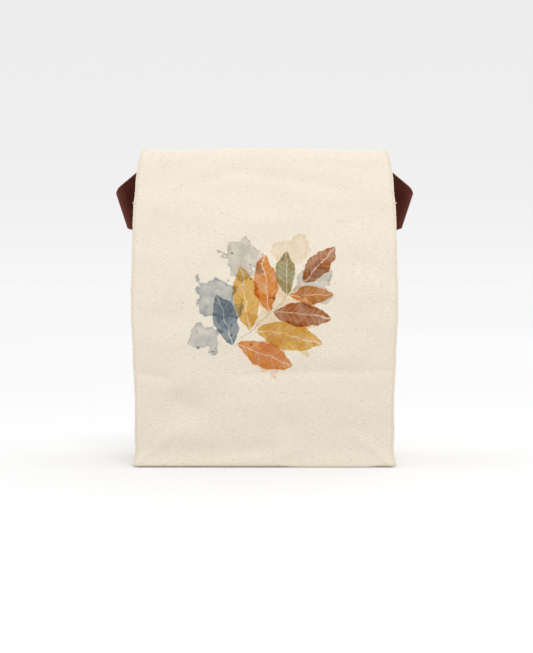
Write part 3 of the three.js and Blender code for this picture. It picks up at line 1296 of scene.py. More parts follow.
WARP_PITCH = 0.78
WEFT_PITCH = 0.62
CANVAS_SHADE: Colour = (0.796, 0.707, 0.567, 1.0)
CANVAS_LIGHT: Colour = (0.9, 0.825, 0.703, 1.0)
CANVAS_STAIN: Colour = (0.785, 0.706, 0.576, 1.0)
STAIN_SHARE = 0.4
FLECK_TINT: Colour = (0.42, 0.27, 0.13, 1.0)
FLECKS = (Fleck((0.4, 0.5, 1.0), 0.36, 0.25), Fleck((0.085, 0.1, 1.0), 0.3, 0.07))
# painted shade along the sides of the front and back strips
EDGE_SHADE_TINT: Colour = (0.5, 0.4, 0.28, 1.0)
EDGE_SHADE_SHARE = 0.13
EDGE_SHADE_INSETS = (1.6, 0.6)


def canvas_effect() -> bpy.types.NodeTree:
    """Plain weave of unbleached cotton with slubs, flecks and a faint mottle.

    Returns:
        Group from a place on the cloth to colour, height and roughness.
    """
    outputs = {"Colour": "Color", "Height": "Float", "Rough": "Float"}
    effect = Effect("canvas_weave", {"Cloth": "Vector"}, outputs)
    s = effect.sketch
    cloth = effect.given["Cloth"]
    sway = s.vector("SUBTRACT", s.noise(cloth, 0.3, 3.0).outputs["Color"], (0.5, 0.5, 0.5))
    bent = s.vector("MULTIPLY_ADD", sway, (0.5, 0.5, 0.0), cloth)
    place = s.split(bent)
    warp = s.math("ABSOLUTE", s.math("SINE", s.math("MULTIPLY", place[0], math.pi / WARP_PITCH)))
    weft = s.math("ABSOLUTE", s.math("SINE", s.math("MULTIPLY", place[1], math.pi / WEFT_PITCH)))
    pebble = s.math("MULTIPLY", warp, weft)
    weft_slub = s.noise(s.vector("MULTIPLY", bent, (0.25, 1.5, 0.0)), 1.0, 3.0).outputs[0]
    warp_slub = s.noise(s.vector("MULTIPLY", bent, (1.1, 0.07, 0.0)), 1.0, 2.0).outputs[0]
    yarn = s.math("MULTIPLY_ADD", weft_slub, 0.87, s.math("MULTIPLY", warp_slub, 0.13))
    mottle = s.noise(s.vector("MULTIPLY", cloth, (0.02, 0.046, 0.0)), 1.0, 4.0).outputs[0]
    grain = s.noise(cloth, 1.25, 3.0).outputs[0]

    tone = s.rise(s.math("MULTIPLY_ADD", grain, 0.52, s.math("MULTIPLY", yarn, 0.48)), 0.385, 0.615)
    colour = s.blend(tone, CANVAS_SHADE, CANVAS_LIGHT)
    stain = s.rise(mottle, 0.35, 0.7)
    colour = s.blend(s.math("MULTIPLY", stain, STAIN_SHARE), colour, CANVAS_STAIN)
    for fleck in FLECKS:
        spread = s.vector("MULTIPLY", bent, fleck.cells)
        cells = s.add("ShaderNodeTexVoronoi", {"Vector": spread, "Scale": 1.0})
        chance = s.add("ShaderNodeSeparateColor", {0: cells.outputs["Color"]}).outputs
        radius = s.rise(chance[0], fleck.share, 1.0, 0.5 * fleck.size, fleck.size)
        speck = s.rise(cells.outputs["Distance"], s.math("MULTIPLY", radius, 0.35), radius, 1.0, 0.0)
        shown = s.math("MULTIPLY", speck, s.math("GREATER_THAN", chance[0], fleck.share))
        depth = s.math("MULTIPLY", shown, s.rise(chance[1], 0.0, 1.0, 0.15, 0.7))
        colour = s.blend(depth, colour, FLECK_TINT)
    fuzz = s.math("MULTIPLY_ADD", yarn, 0.35, s.math("MULTIPLY", grain, 0.15))
    height = s.math("MULTIPLY_ADD", pebble, 0.5, fuzz)
    rough = s.rise(yarn, 0.3, 0.7, 0.97, 0.86)
    return effect.give(Colour=colour, Height=height, Rough=rough)


def fibre_effect() -> bpy.types.NodeTree:
    """Uneven shade of twisted yarn along its run.

    Returns:
        Group from a place on the cloth to a shade from 0 to 1.
    """
    effect = Effect("yarn_fibres", {"Cloth": "Vector", "Fineness": "Float"}, {"Shade": "Float"})
    s = effect.sketch
    scaled = s.vector("SCALE", effect.given["Cloth"])
    s.feed(scaled.node.inputs["Scale"], effect.given["Fineness"])
    streak = s.noise(s.vector("MULTIPLY", scaled, (1.0, 0.25, 1.0)), 1.0, 3.0).outputs[0]
    patch = s.noise(scaled, 0.15, 2.0).outputs[0]
    shade = s.math("MULTIPLY_ADD", streak, 0.6, s.math("MULTIPLY", patch, 0.4))
    return effect.give(Shade=s.rise(shade, 0.3, 0.7))


@dataclass(frozen=True)
class Finish:
    """A matte cloth finish."""

    name: str
    sheen: float = 0.08
    sheen_rough: float = 0.6
    gloss: float = 0.25
    bump: float = 0.3
    bump_depth: float = 0.3

    def start(self) -> tuple[bpy.types.Material, NodeSketch, bpy.types.Node]:
        """Makes the material with its shader.

        Returns:
            Material, sketch of its tree and Principled shader.
        """
        material = bpy.data.materials.new(self.name)
        material.use_nodes = True
        material.node_tree.nodes.clear()
        sketch = NodeSketch(material.node_tree)
        sheen = {"Sheen Weight": self.sheen, "Sheen Roughness": self.sheen_rough}
        shader = sketch.add("ShaderNodeBsdfPrincipled", sheen)
        shader.inputs["Specular IOR Level"].default_value = self.gloss
        out = sketch.add("ShaderNodeOutputMaterial")
        sketch.feed(out.inputs["Surface"], shader.outputs["BSDF"])
        return material, sketch, shader

    @staticmethod
    def shade_edges(
        sketch: NodeSketch, cloth: bpy.types.NodeSocket, colour: bpy.types.NodeSocket
    ) -> bpy.types.NodeSocket:
        """Paints shade on the outermost yarns along the sides of the two strips, where the rounded edges
        turn away from the light.

        Args:
            sketch: Sketch of the material's tree.
            cloth: Place on the cloth.
            colour: Colour so far.

        Returns:
            Colour with painted shade at the edges.
        """
        across = sketch.math("ABSOLUTE", sketch.split(cloth)[0])
        start, end = (PANEL_HALF - inset for inset in EDGE_SHADE_INSETS)
        share = sketch.rise(across, start, end, 0.0, EDGE_SHADE_SHARE)
        return sketch.blend(share, colour, EDGE_SHADE_TINT)

    def raise_yarn(self, sketch: NodeSketch, shader: bpy.types.Node, height: bpy.types.NodeSocket) -> None:
        """Feeds a height to the shader's normal.

        Args:
            sketch: Sketch of the material's tree.
            shader: Principled shader.
            height: Height from 0 to 1.
        """
        feeds = {"Height": height, "Strength": self.bump, "Distance": self.bump_depth * MM}
        bump = sketch.add("ShaderNodeBump", feeds)
        sketch.feed(shader.inputs["Normal"], bump.outputs["Normal"])


@dataclass(frozen=True)
class CanvasFinish(Finish):
    """Unbleached cotton canvas."""

    def paint(
        self, sketch: NodeSketch, cloth: bpy.types.NodeSocket, colour: bpy.types.NodeSocket
    ) -> bpy.types.NodeSocket:
        """Leaves the canvas its own colour."""
        return colour

    def make(self, weave: bpy.types.NodeTree) -> bpy.types.Material:
        """Makes the canvas, with whatever is painted on it.

        Args:
            weave: The canvas group.

        Returns:
            The material.
        """
        material, sketch, shader = self.start()
        place = sketch.cloth_place()
        cloth = sketch.group(weave, Cloth=place)
        painted = self.paint(sketch, place, cloth.outputs["Colour"])
        # painted shade along the side edges of the strips
        colour = self.shade_edges(sketch, place, painted)
        sketch.feed(shader.inputs["Base Color"], colour)
        sketch.feed(shader.inputs["Roughness"], cloth.outputs["Rough"])
        self.raise_yarn(sketch, shader, cloth.outputs["Height"])
        return material


class Pigment(Enum):
    """Wash colours of the printed sprig, as what is left of white light."""

    OCHRE = (0.74, 0.44, 0.06, 1.0)
    AMBER = (0.74, 0.27, 0.02, 1.0)
    RUST = (0.42, 0.13, 0.02, 1.0)
    SLATE = (0.14, 0.23, 0.34, 1.0)
    SMOKE = (0.36, 0.36, 0.37, 1.0)
    MOSS = (0.26, 0.24, 0.06, 1.0)
    UMBER = (0.12, 0.06, 0.03, 1.0)


@dataclass(frozen=True)
class Leaf:
    """One painted leaf: where its stalk starts, where it points and how big it is."""

    u: float
    v: float
    angle: float
    length: float
    half_width: float
    pigment: Pigment
    strength: float = 1.0


@dataclass(frozen=True)
class Wash:
    """One loose patch of watery colour."""

    u: float
    v: float
    radius: float
    pigment: Pigment
    strength: float = 0.6


WASHES = (
    Wash(-34, 118, 17, Pigment.SLATE, 0.9),
    Wash(-16, 148, 15, Pigment.SMOKE, 0.85),
    Wash(-42, 92, 11, Pigment.SLATE, 0.7),
    Wash(14, 104, 24, Pigment.OCHRE, 0.6),
    Wash(35, 128, 14, Pigment.SMOKE, 0.8),
    Wash(4, 80, 13, Pigment.AMBER, 0.4),
    Wash(20, 152, 12, Pigment.OCHRE, 0.45),
)
LEAVES = (
    Leaf(-36, 72, 43, 104, 0.75, Pigment.UMBER, 0.85),
    Leaf(-22, 86, 106, 38, 9.0, Pigment.SLATE, 0.95),
    Leaf(-20, 87, -20, 44, 9.5, Pigment.AMBER),
    Leaf(-10, 97, 98, 46, 10.0, Pigment.OCHRE),
    Leaf(-7, 98, -12, 50, 10.5, Pigment.OCHRE),
    Leaf(3, 109, 96, 42, 9.0, Pigment.AMBER),
    Leaf(5, 110, -6, 42, 9.0, Pigment.RUST),
    Leaf(15, 120, 90, 34, 7.5, Pigment.MOSS, 0.9),
    Leaf(17, 121, 2, 31, 7.0, Pigment.AMBER),
    Leaf(26, 130, 48, 36, 8.0, Pigment.RUST),
)


@dataclass(frozen=True)
class PrintedCanvas(CanvasFinish):
    """Canvas with a loose watercolour sprig of leaves on it."""

    wander: float = 7.0
    splash_centre: tuple[float, float, float] = (-2.0, 116.0, 0.0)
    splash_fade: tuple[float, float] = (26.0, 62.0)
    splash_share: float = 0.55
    splash_strength: float = 0.8
    drop_sizes: tuple[float, float] = (0.02, 0.2)

    @staticmethod
    def leaf_effect() -> bpy.types.NodeTree:
        """Mask of one painted leaf with a pale rib and pooled edges.

        Returns:
            Group from a place on the cloth, and the leaf's place and size, to the mask.
        """
        inputs = {"Cloth": "Vector", "Start": "Vector", "Angle": "Float", "Length": "Float", "Half": "Float"}
        effect = Effect("painted_leaf", inputs, {"Mask": "Float"})
        s, given = effect.sketch, effect.given
        local = s.vector("SUBTRACT", given["Cloth"], given["Start"])
        feeds = {"Vector": local, "Angle": given["Angle"]}
        turned = s.add("ShaderNodeVectorRotate", feeds, rotation_type="Z_AXIS")
        place = s.split(turned.outputs[0])
        share = s.math("DIVIDE", place[0], given["Length"])
        belly = s.math("MULTIPLY", s.math("MULTIPLY", share, s.math("SUBTRACT", 1.0, share)), 4.0)
        width = s.math("MULTIPLY", belly, given["Half"])
        aside = s.math("ABSOLUTE", place[1])
        depth = s.math("SUBTRACT", width, aside)
        inside = s.rise(depth, 0.0, 0.9)
        pooled = s.rise(depth, 0.4, 2.4, 1.0, 0.92)
        rib = s.rise(aside, 0.15, 0.6, 0.45, 1.0)
        veins = s.math("SINE", s.math("MULTIPLY_ADD", place[0], 1.5, s.math("MULTIPLY", aside, -1.2)))
        veined = s.rise(veins, 0.2, 1.0, 1.0, 0.88)
        mask = s.math("MULTIPLY", s.math("MULTIPLY", inside, pooled), s.math("MULTIPLY", rib, veined))
        return effect.give(Mask=mask)

    @staticmethod
    def wash_effect() -> bpy.types.NodeTree:
        """Mask of one loose patch with ragged, pooled edges.

        Returns:
            Group from a place on the cloth, and the patch's centre and radius, to the mask.
        """
        inputs = {"Cloth": "Vector", "Centre": "Vector", "Radius": "Float"}
        effect = Effect("loose_wash", inputs, {"Mask": "Float"})
        s, given = effect.sketch, effect.given
        far = s.length(s.vector("SUBTRACT", given["Cloth"], given["Centre"]))
        ragged = s.noise(given["Cloth"], 0.09, 6.0).outputs[0]
        reach = s.math("MULTIPLY", given["Radius"], s.math("MULTIPLY_ADD", ragged, 2.6, -0.3))
        depth = s.math("DIVIDE", s.math("SUBTRACT", reach, far), given["Radius"])
        inside = s.rise(depth, 0.0, 0.12)
        pooled = s.rise(depth, 0.05, 0.35, 1.0, 0.7)
        cloud = s.rise(s.noise(given["Cloth"], 0.16, 4.0).outputs[0], 0.3, 0.7, 0.5, 1.0)
        return effect.give(Mask=s.math("MULTIPLY", inside, s.math("MULTIPLY", pooled, cloud)))

    def paint(
        self, sketch: NodeSketch, cloth: bpy.types.NodeSocket, colour: bpy.types.NodeSocket
    ) -> bpy.types.NodeSocket:
        """Lays the washes, leaves and splashes over the canvas colour.

        Args:
            sketch: Sketch of the material's tree.
            cloth: Place on the cloth.
            colour: Canvas colour.

        Returns:
            Painted colour.
        """
        wander = sketch.vector("SUBTRACT", sketch.noise(cloth, 0.11, 4.0).outputs["Color"], (0.5, 0.5, 0.5))
        loose = sketch.vector("MULTIPLY_ADD", wander, (self.wander, self.wander, 0.0), cloth)
        pool = sketch.rise(sketch.noise(cloth, 0.13, 5.0).outputs[0], 0.3, 0.7, 0.88, 1.1)
        wash, leaf = self.wash_effect(), self.leaf_effect()
        for patch in WASHES:
            node = sketch.group(wash, Cloth=cloth, Centre=(patch.u, patch.v, 0.0), Radius=patch.radius)
            depth = sketch.math("MULTIPLY", node.outputs["Mask"], patch.strength)
            colour = sketch.blend(depth, colour, patch.pigment.value, "MULTIPLY")
        for spray in LEAVES:
            start = (spray.u, spray.v, 0.0)
            size = {"Length": spray.length, "Half": spray.half_width, "Angle": -math.radians(spray.angle)}
            node = sketch.group(leaf, Cloth=loose, Start=start, **size)
            pooled = sketch.math("MULTIPLY", node.outputs["Mask"], pool)
            depth = sketch.math("MULTIPLY", pooled, spray.strength)
            colour = sketch.blend(depth, colour, spray.pigment.value, "MULTIPLY")
        return self.splash(sketch, cloth, colour)

    def splash(
        self, sketch: NodeSketch, cloth: bpy.types.NodeSocket, colour: bpy.types.NodeSocket
    ) -> bpy.types.NodeSocket:
        """Scatters fine drops round the sprig.

        Args:
            sketch: Sketch of the material's tree.
            cloth: Place on the cloth.
            colour: Colour so far.

        Returns:
            Colour with drops.
        """
        far = sketch.length(sketch.vector("SUBTRACT", cloth, self.splash_centre))
        near = sketch.rise(far, *self.splash_fade, 1.0, 0.0)
        for scale, pigment in ((0.22, Pigment.UMBER), (0.13, Pigment.SLATE)):
            cells = sketch.add("ShaderNodeTexVoronoi", {"Vector": cloth, "Scale": scale})
            chance = sketch.add("ShaderNodeSeparateColor", {0: cells.outputs["Color"]}).outputs
            radius = sketch.rise(chance[0], 0.45, 1.0, *self.drop_sizes)
            solid = sketch.math("MULTIPLY", radius, 0.7)
            drop = sketch.rise(cells.outputs["Distance"], solid, radius, 1.0, 0.0)
            shown = sketch.math("LESS_THAN", chance[1], sketch.math("MULTIPLY", near, self.splash_share))
            depth = sketch.math("MULTIPLY", sketch.math("MULTIPLY", drop, shown), self.splash_strength)
            colour = sketch.blend(depth, colour, pigment.value, "MULTIPLY")
        return colour


@dataclass(frozen=True)
class WebbingFinish(Finish):
    """Dark brown webbing with ribs across it, with painted shade in the grooves and painted light that makes
    it paler at the folds and along its upper edge.
    """

    pitch: float = 1.5
    yarn_pitch: float = 0.8
    # fold_lean to upper place the painted light on the folds and along the upper edge
    fold_lean: float = 28.3
    fold_at: float = 94.3
    fold_reach: float = 14.0
    fold_start: float = 4.0
    fold_light: float = 0.9
    side_blend: float = 20.0
    right_light: float = 0.65
    upper_light: float = 0.1
    upper: tuple[float, float] = (4.0, 13.0)
    selvage_at: float = 13.6
    selvage_reach: float = 1.2
    selvage_share: float = 0.4
    rib_sway: float = 2.5
    fineness: float = 1.6
    rough: tuple[float, float] = (0.85, 0.62)
    sheen_tint: Colour = (0.8, 0.36, 0.28, 1.0)
    # painted shade: the grooves get a darker copy of the ribs' brown, the ribs a lit copy
    shaded_groove_tints: tuple[Colour, Colour] = ((0.018, 0.003, 0.0018, 1.0), (0.036, 0.006, 0.0036, 1.0))
    lit_rib_tints: tuple[Colour, Colour] = ((0.071, 0.0135, 0.008, 1.0), (0.107, 0.023, 0.0142, 1.0))
    # tint of the painted light on the folds and the upper edge
    painted_light_tint: Colour = (0.195, 0.064, 0.048, 1.0)
    selvage_tint: Colour = (0.15, 0.05, 0.038, 1.0)

    def make(self, fibres: bpy.types.NodeTree) -> bpy.types.Material:
        """Makes the webbing.

        Args:
            fibres: The yarn group.

        Returns:
            The material.
        """
        material, s, shader = self.start()
        shader.inputs["Sheen Tint"].default_value = self.sheen_tint
        cloth = s.cloth_place()
        place = s.split(cloth)
        sway = s.math("MULTIPLY", s.noise(cloth, 0.5, 2.0).outputs[0], self.rib_sway)
        wave = s.math("SINE", s.math("MULTIPLY_ADD", place[1], 2 * math.pi / self.pitch, sway))
        yarn = s.math("SINE", s.math("MULTIPLY", place[0], 2 * math.pi / self.yarn_pitch))
        rib = s.rise(s.math("MULTIPLY_ADD", yarn, 0.12, wave), -0.8, 0.8)
        shade = s.group(fibres, Cloth=cloth, Fineness=self.fineness).outputs["Shade"]
        # painted shade in the grooves between the ribs, lit brown on the ribs
        dark = s.blend(shade, *self.shaded_groove_tints)
        light = s.blend(shade, *self.lit_rib_tints)
        colour = s.blend(rib, dark, light)
        # painted light: paler at each fold, fading into painted shade towards the sewn end, weaker at the
        # right end, plus a paler upper edge
        lean = math.radians(self.fold_lean)
        run = s.math("MULTIPLY", s.math("ABSOLUTE", place[1]), math.cos(lean))
        square = s.math("MULTIPLY_ADD", place[0], -math.sin(lean), run)
        inward = s.rise(square, self.fold_at, self.fold_at + self.fold_reach, self.fold_light, 0.0)
        painted_light = s.math("MULTIPLY", inward, s.rise(square, self.fold_at - self.fold_start, self.fold_at))
        to_right = s.rise(place[1], -self.side_blend, self.side_blend, 1.0, self.right_light)
        painted_light = s.math("MULTIPLY", painted_light, to_right)
        painted_light = s.math("ADD", painted_light, s.rise(place[0], *self.upper, 0.0, self.upper_light))
        colour = s.blend(painted_light, colour, self.painted_light_tint)
        aside = s.math("ABSOLUTE", place[0])
        selvage = s.rise(aside, self.selvage_at, self.selvage_at + self.selvage_reach)
        colour = s.blend(s.math("MULTIPLY", selvage, self.selvage_share), colour, self.selvage_tint)
        s.feed(shader.inputs["Base Color"], colour)
        s.feed(shader.inputs["Roughness"], s.rise(rib, 0.0, 1.0, *self.rough))
        self.raise_yarn(s, shader, rib)
        return material


@dataclass(frozen=True)
class ThreadFinish(Finish):
    """Sewing thread in one colour."""

    dark: Colour = (0.70, 0.60, 0.46, 1.0)
    light: Colour = (0.88, 0.80, 0.67, 1.0)
    twist_round: float = 8.0
    twist_along: float = 9.0
    fineness: float = 2.5
    rough: tuple[float, float] = (0.9, 0.7)

    def make(self, fibres: bpy.types.NodeTree) -> bpy.types.Material:
        """Makes the thread.

        Args:
            fibres: The yarn group.

        Returns:
            The material.
        """
        material, s, shader = self.start()
        cloth = s.cloth_place()
        place = s.split(cloth)
        around = s.math("MULTIPLY", place[0], self.twist_round)
        twist = s.math("SINE", s.math("MULTIPLY_ADD", place[1], self.twist_along, around))
        shade = s.group(fibres, Cloth=cloth, Fineness=self.fineness).outputs["Shade"]
        s.feed(shader.inputs["Base Color"], s.blend(shade, self.dark, self.light))
        s.feed(shader.inputs["Roughness"], s.rise(shade, 0.0, 1.0, *self.rough))
        self.raise_yarn(s, shader, s.rise(twist, -1.0, 1.0))
        return material


@dataclass
class Finishes:
    """All finishes of the sack."""

    canvas: bpy.types.Material = field(init=False)
    printed: bpy.types.Material = field(init=False)
    webbing: bpy.types.Material = field(init=False)
    cream_thread: bpy.types.Material = field(init=False)
    brown_thread: bpy.types.Material = field(init=False)

    def __post_init__(self) -> None:
        """Makes the groups once and the materials from them."""
        weave = canvas_effect()
        fibres = fibre_effect()
        ribbed = WebbingFinish("webbing_brown", sheen=0.04, gloss=0.06, bump=0.6, bump_depth=0.25)
        brown = ThreadFinish(
            "thread_brown",
            sheen=0.0,
            gloss=0.1,
            bump_depth=0.1,
            dark=(0.04, 0.015, 0.012, 1.0),
            light=(0.11, 0.05, 0.04, 1.0),
        )
        self.canvas = CanvasFinish("canvas_natural").make(weave)
        self.printed = PrintedCanvas("canvas_printed_sprig").make(weave)
        self.webbing = ribbed.make(fibres)
        self.cream_thread = ThreadFinish("thread_cream", bump_depth=0.1).make(fibres)
        self.brown_thread = brown.make(fibres)


def dress(piece: bpy.types.Object, finish: bpy.types.Material) -> bpy.types.Object:
    """Gives a piece its finish and reports it.

    Args:
        piece: The piece.
        finish: Its material.

    Returns:
        The same piece.
    """
    piece.data.materials.append(finish)
    LOG.info("%s: %d faces, %s", piece.name, len(piece.data.polygons), finish.name)
    return piece


FRONT_CREASES = (
    CornerCrease(-1, 0.5, 1.9),
    CornerCrease(1, 0.45, 1.9),
    CornerCrease(1, 0.7, 1.0, 16.0, 29.0),
)
BACK_CREASES = (CornerCrease(-1, 0.8, 1.7), CornerCrease(1, 0.7, 2.0))
RIGHT_CROSS = ((-32.0, 60.0), (-20.0, 64.2), (0.0, 66.8), (40.0, 67.3), (94.0, 68.8), (130.0, 70.0))
LEFT_CROSS = ((-130.0, 76.0), (-94.0, 67.7), (-72.0, 63.2), (-56.0, 61.0))
FRONT_DENTS = (
    Dent(RIGHT_CROSS, 2.0, 9.0, 3.2),
    Dent(LEFT_CROSS, 1.9, 9.0, 3.4, (20.0, 22.0)),
    Dent(((-100.0, 84.0), (-70.0, 82.0), (-30.0, 78.0)), 1.4, 16.0, 9.0, (20.0, 40.0)),
    Dent(((30.0, 95.0), (130.0, 91.0)), 0.7, 10.0, 7.0, (40.0, 20.0)),
    Dent(((-130.0, 112.0), (-40.0, 106.0)), 0.6, 9.0, 8.0, (20.0, 40.0)),
)
BACK_DENTS = (
    Dent(((-130.0, 70.0), (-40.0, 66.0), (40.0, 67.0)), 1.5, 9.0, 4.0, (20.0, 40.0)),
    Dent(((-20.0, 96.0), (40.0, 92.0), (130.0, 97.0)), 1.4, 11.0, 6.0, (40.0, 20.0)),
)
FRONT_FOLDS = (
    Fold((-40.0, 4.0), (46.0, 13.0), 1.2, 5.0),
    Fold((-90.0, 5.0), (-60.0, 29.0), 0.9, 4.0),
    Fold((90.0, 5.0), (58.0, 28.0), 0.9, 4.0),
    Fold((-58.0, 203.0), (-14.0, 219.0), -1.8, 5.5),
    Fold((-34.0, 219.0), (74.0, 200.0), -2.0, 6.5),
    Fold((30.0, 218.0), (92.0, 206.0), 0.7, 8.0),
    Fold((-92.0, 186.0), (-48.0, 166.0), -0.8, 7.0),
    Fold((-70.0, 196.0), (-10.0, 186.0), 0.5, 8.0),
    Fold((20.0, 190.0), (90.0, 178.0), -0.6, 9.0),
    Fold((56.0, 150.0), (90.0, 128.0), -0.6, 9.0),
    Fold((-2.0, 46.0), (26.0, 22.0), -1.2, 7.0),
    Fold((-70.0, 52.0), (-34.0, 30.0), -1.0, 8.0),
    Fold((46.0, 52.0), (78.0, 36.0), 1.0, 8.0),
)
BACK_FOLDS = (
    Fold((-84.0, 148.0), (-30.0, 92.0), 1.7, 5.5),
    Fold((86.0, 142.0), (38.0, 84.0), 1.8, 5.0),
    Fold((-60.0, 40.0), (20.0, 52.0), -1.4, 5.5),
    Fold((10.0, 128.0), (64.0, 108.0), -1.5, 6.0),
    Fold((-80.0, 84.0), (-36.0, 66.0), 1.2, 5.0),
    Fold((30.0, 40.0), (74.0, 22.0), -1.2, 6.0),
    Fold((-88.0, 4.0), (-58.0, 30.0), 1.0, 4.0),
    Fold((88.0, 4.0), (60.0, 28.0), 1.0, 4.0),
)
LEFT_FOLDS = (
    Fold((6.0, 118.0), (44.0, 64.0), 1.5, 4.5),
    Fold((-5.0, 110.0), (-42.0, 72.0), 1.4, 5.0),
    Fold((-40.0, 50.0), (-12.0, 78.0), -1.1, 4.5),
    Fold((20.0, 26.0), (-18.0, 34.0), 0.8, 4.0),
    Fold((-46.0, 128.0), (-20.0, 96.0), -1.0, 5.0),
)
RIGHT_FOLDS = (
    Fold((-6.0, 122.0), (-43.0, 70.0), 1.5, 5.0),
    Fold((5.0, 108.0), (40.0, 60.0), 1.4, 4.5),
    Fold((36.0, 42.0), (8.0, 70.0), -1.1, 4.5),
    Fold((-22.0, 22.0), (16.0, 30.0), 0.8, 4.0),
    Fold((45.0, 132.0), (22.0, 98.0), -1.0, 5.0),
)


@dataclass(frozen=True)
class Tack:
    """A short bar of thread over each side edge of the front, where the strap is sewn in behind it."""

    height: float
    reach: float
    threads: int


TACKS = (Tack(186.0, 3.1, 2), Tack(193.4, 2.6, 1))


@dataclass
class Sack:
    """The canvas sack: base, two strips and two side walls, with their seams."""

    shape: SackShape
    finishes: Finishes
    seam_foot: float = 1.6
    seam_mouth: float = 2.0
    hem_margin: float = 4.0
    back_seam_end: float = 208.0
    tack_start: float = 0.8
    tack_lift: float = 0.3
    tack_gap: float = 0.5

    def build(self) -> None:
        """Makes all canvas pieces and their stitches."""
        front = PanelCloth(
            "front_panel_cloth",
            panel=Panel.FRONT,
            shape=self.shape,
            seed=3,
            covered_from=232.0,
            dents=FRONT_DENTS,
            folds=FRONT_FOLDS,
            creases=FRONT_CREASES,
        )
        back = PanelCloth(
            "back_panel_cloth",
            panel=Panel.BACK,
            shape=self.shape,
            seed=7,
            swell=0.5,
            covered_from=150.0,
            dents=BACK_DENTS,
            folds=BACK_FOLDS,
            creases=BACK_CREASES,
        )
        base = BaseCloth("bottom_panel_cloth")
        gussets = [
            GussetCloth("left_gusset_cloth", side=Side.LEFT, shape=self.shape, seed=11, folds=LEFT_FOLDS),
            GussetCloth("right_gusset_cloth", side=Side.RIGHT, shape=self.shape, seed=17, folds=RIGHT_FOLDS),
        ]
        front_piece = self.panel_piece(front, "front_panel", self.finishes.printed, self.front_seams(front))
        back_piece = self.panel_piece(back, "back_panel", self.finishes.canvas, self.back_seams(back))
        base_piece = dress(base.build(), self.finishes.canvas)
        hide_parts("bottom_panel")
        seams = [dress(self.base_seams(base), self.finishes.cream_thread)]
        for gusset in gussets:
            piece = dress(gusset.build(), self.finishes.canvas)
            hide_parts(f"{gusset.side.name.lower()}_gusset")
            flat = (2 * gusset.half * MM, self.shape.length * MM)

    def panel_piece(
        self, cloth: PanelCloth, node: str, finish: bpy.types.Material, seams: bpy.types.Object
    ) -> bpy.types.Object:
        """Args:
            cloth: The strip.
            node: CAD node that it replaces.
            finish: Its material.
            seams: Its stitches.

        Returns:
            The piece.
        """
        piece = dress(cloth.build(), finish)
        dress(seams, self.finishes.cream_thread)
        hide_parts(node)
        flat = (2 * cloth.half * MM, cloth.span()[3] * MM)
        return piece

    def front_seams(self, cloth: PanelCloth) -> bpy.types.Object:
        """Stitches along the front strip's sides, over its side edges and across its mouth hem.

        Args:
            cloth: The front strip.

        Returns:
            The stitches.
        """
        seams = Stitching("front_panel_stitches", pitch=cloth.stitch_pitch)
        last = cloth.span()[3]
        for sign in (-1, 1):
            u = sign * (cloth.half - cloth.stitch_inset)
            seams.row(cloth, np.array([[u, self.seam_foot], [u, last - self.seam_mouth]]))
            for tack in TACKS:
                v = cloth.run_at(tack.height)
                for step in (np.arange(tack.threads) - (tack.threads - 1) / 2) * self.tack_gap:
                    start = [u - sign * self.tack_start, v + step]
                    end = [u + sign * tack.reach, v + step + self.tack_lift]
                    seams.row(cloth, np.array([start, end]))
        hem = last - cloth.hem + cloth.hem_stitch
        reach = cloth.half - self.hem_margin
        seams.row(cloth, np.array([[-reach, hem], [reach, hem]]))
        return seams.build()

    def back_seams(self, cloth: PanelCloth) -> bpy.types.Object:
        """Stitches along the back strip's sides, up to the fold.

        Args:
            cloth: The back strip.

        Returns:
            The stitches.
        """
        seams = Stitching("back_panel_stitches", pitch=cloth.stitch_pitch)
        for sign in (-1, 1):
            u = sign * (cloth.half - cloth.stitch_inset)
            seams.row(cloth, np.array([[u, self.seam_foot], [u, self.back_seam_end]]))
        return seams.build()

    @staticmethod
    def base_seams(cloth: BaseCloth) -> bpy.types.Object:
        """Stitches round the underside of the base.

        Args:
            cloth: The base.

        Returns:
            The stitches.
        """
        seams = Stitching("bottom_panel_stitches")
        u, v = cloth.width / 2 - cloth.seam_inset, cloth.depth / 2 - cloth.seam_inset
        seams.frame(cloth, (-u, -v), (u, v), face=-1.0)
        return seams.build()


@dataclass
class Strap:
    """The webbing strap and the stitches that hold its ends."""

    shape: SackShape
    finishes: Finishes
    box: float = 9.0
    margin: float = 3.0

    def build(self) -> None:
        cloth = StrapCloth("strap_webbing", shape=self.shape)
        piece = dress(cloth.build(), self.finishes.webbing)
        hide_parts("strap")
        seams = Stitching("strap_stitches", pitch=2.6, radius=0.28)
        wide = cloth.width / 2 - self.margin
        for sign in (-1, 1):
            last = sign * (cloth.end - self.margin)
            first = sign * (cloth.end - self.margin - self.box)
            seams.frame(cloth, (-wide, first), (wide, last))
        stitches = dress(seams.build(), self.finishes.brown_thread)


@dataclass(frozen=True)
class Lamp:
    """A soft rectangular light: place and size in metres, power in watts."""

    name: str
    place: tuple[float, float, float]
    size: tuple[float, float]
    power: float


LAMPS = (
    Lamp("key", (0.22, -1.3, 1.95), (0.7, 0.6), 10.4),
    Lamp("fill", (0.5, 1.8, 1.9), (1.8, 1.4), 7.0),
)


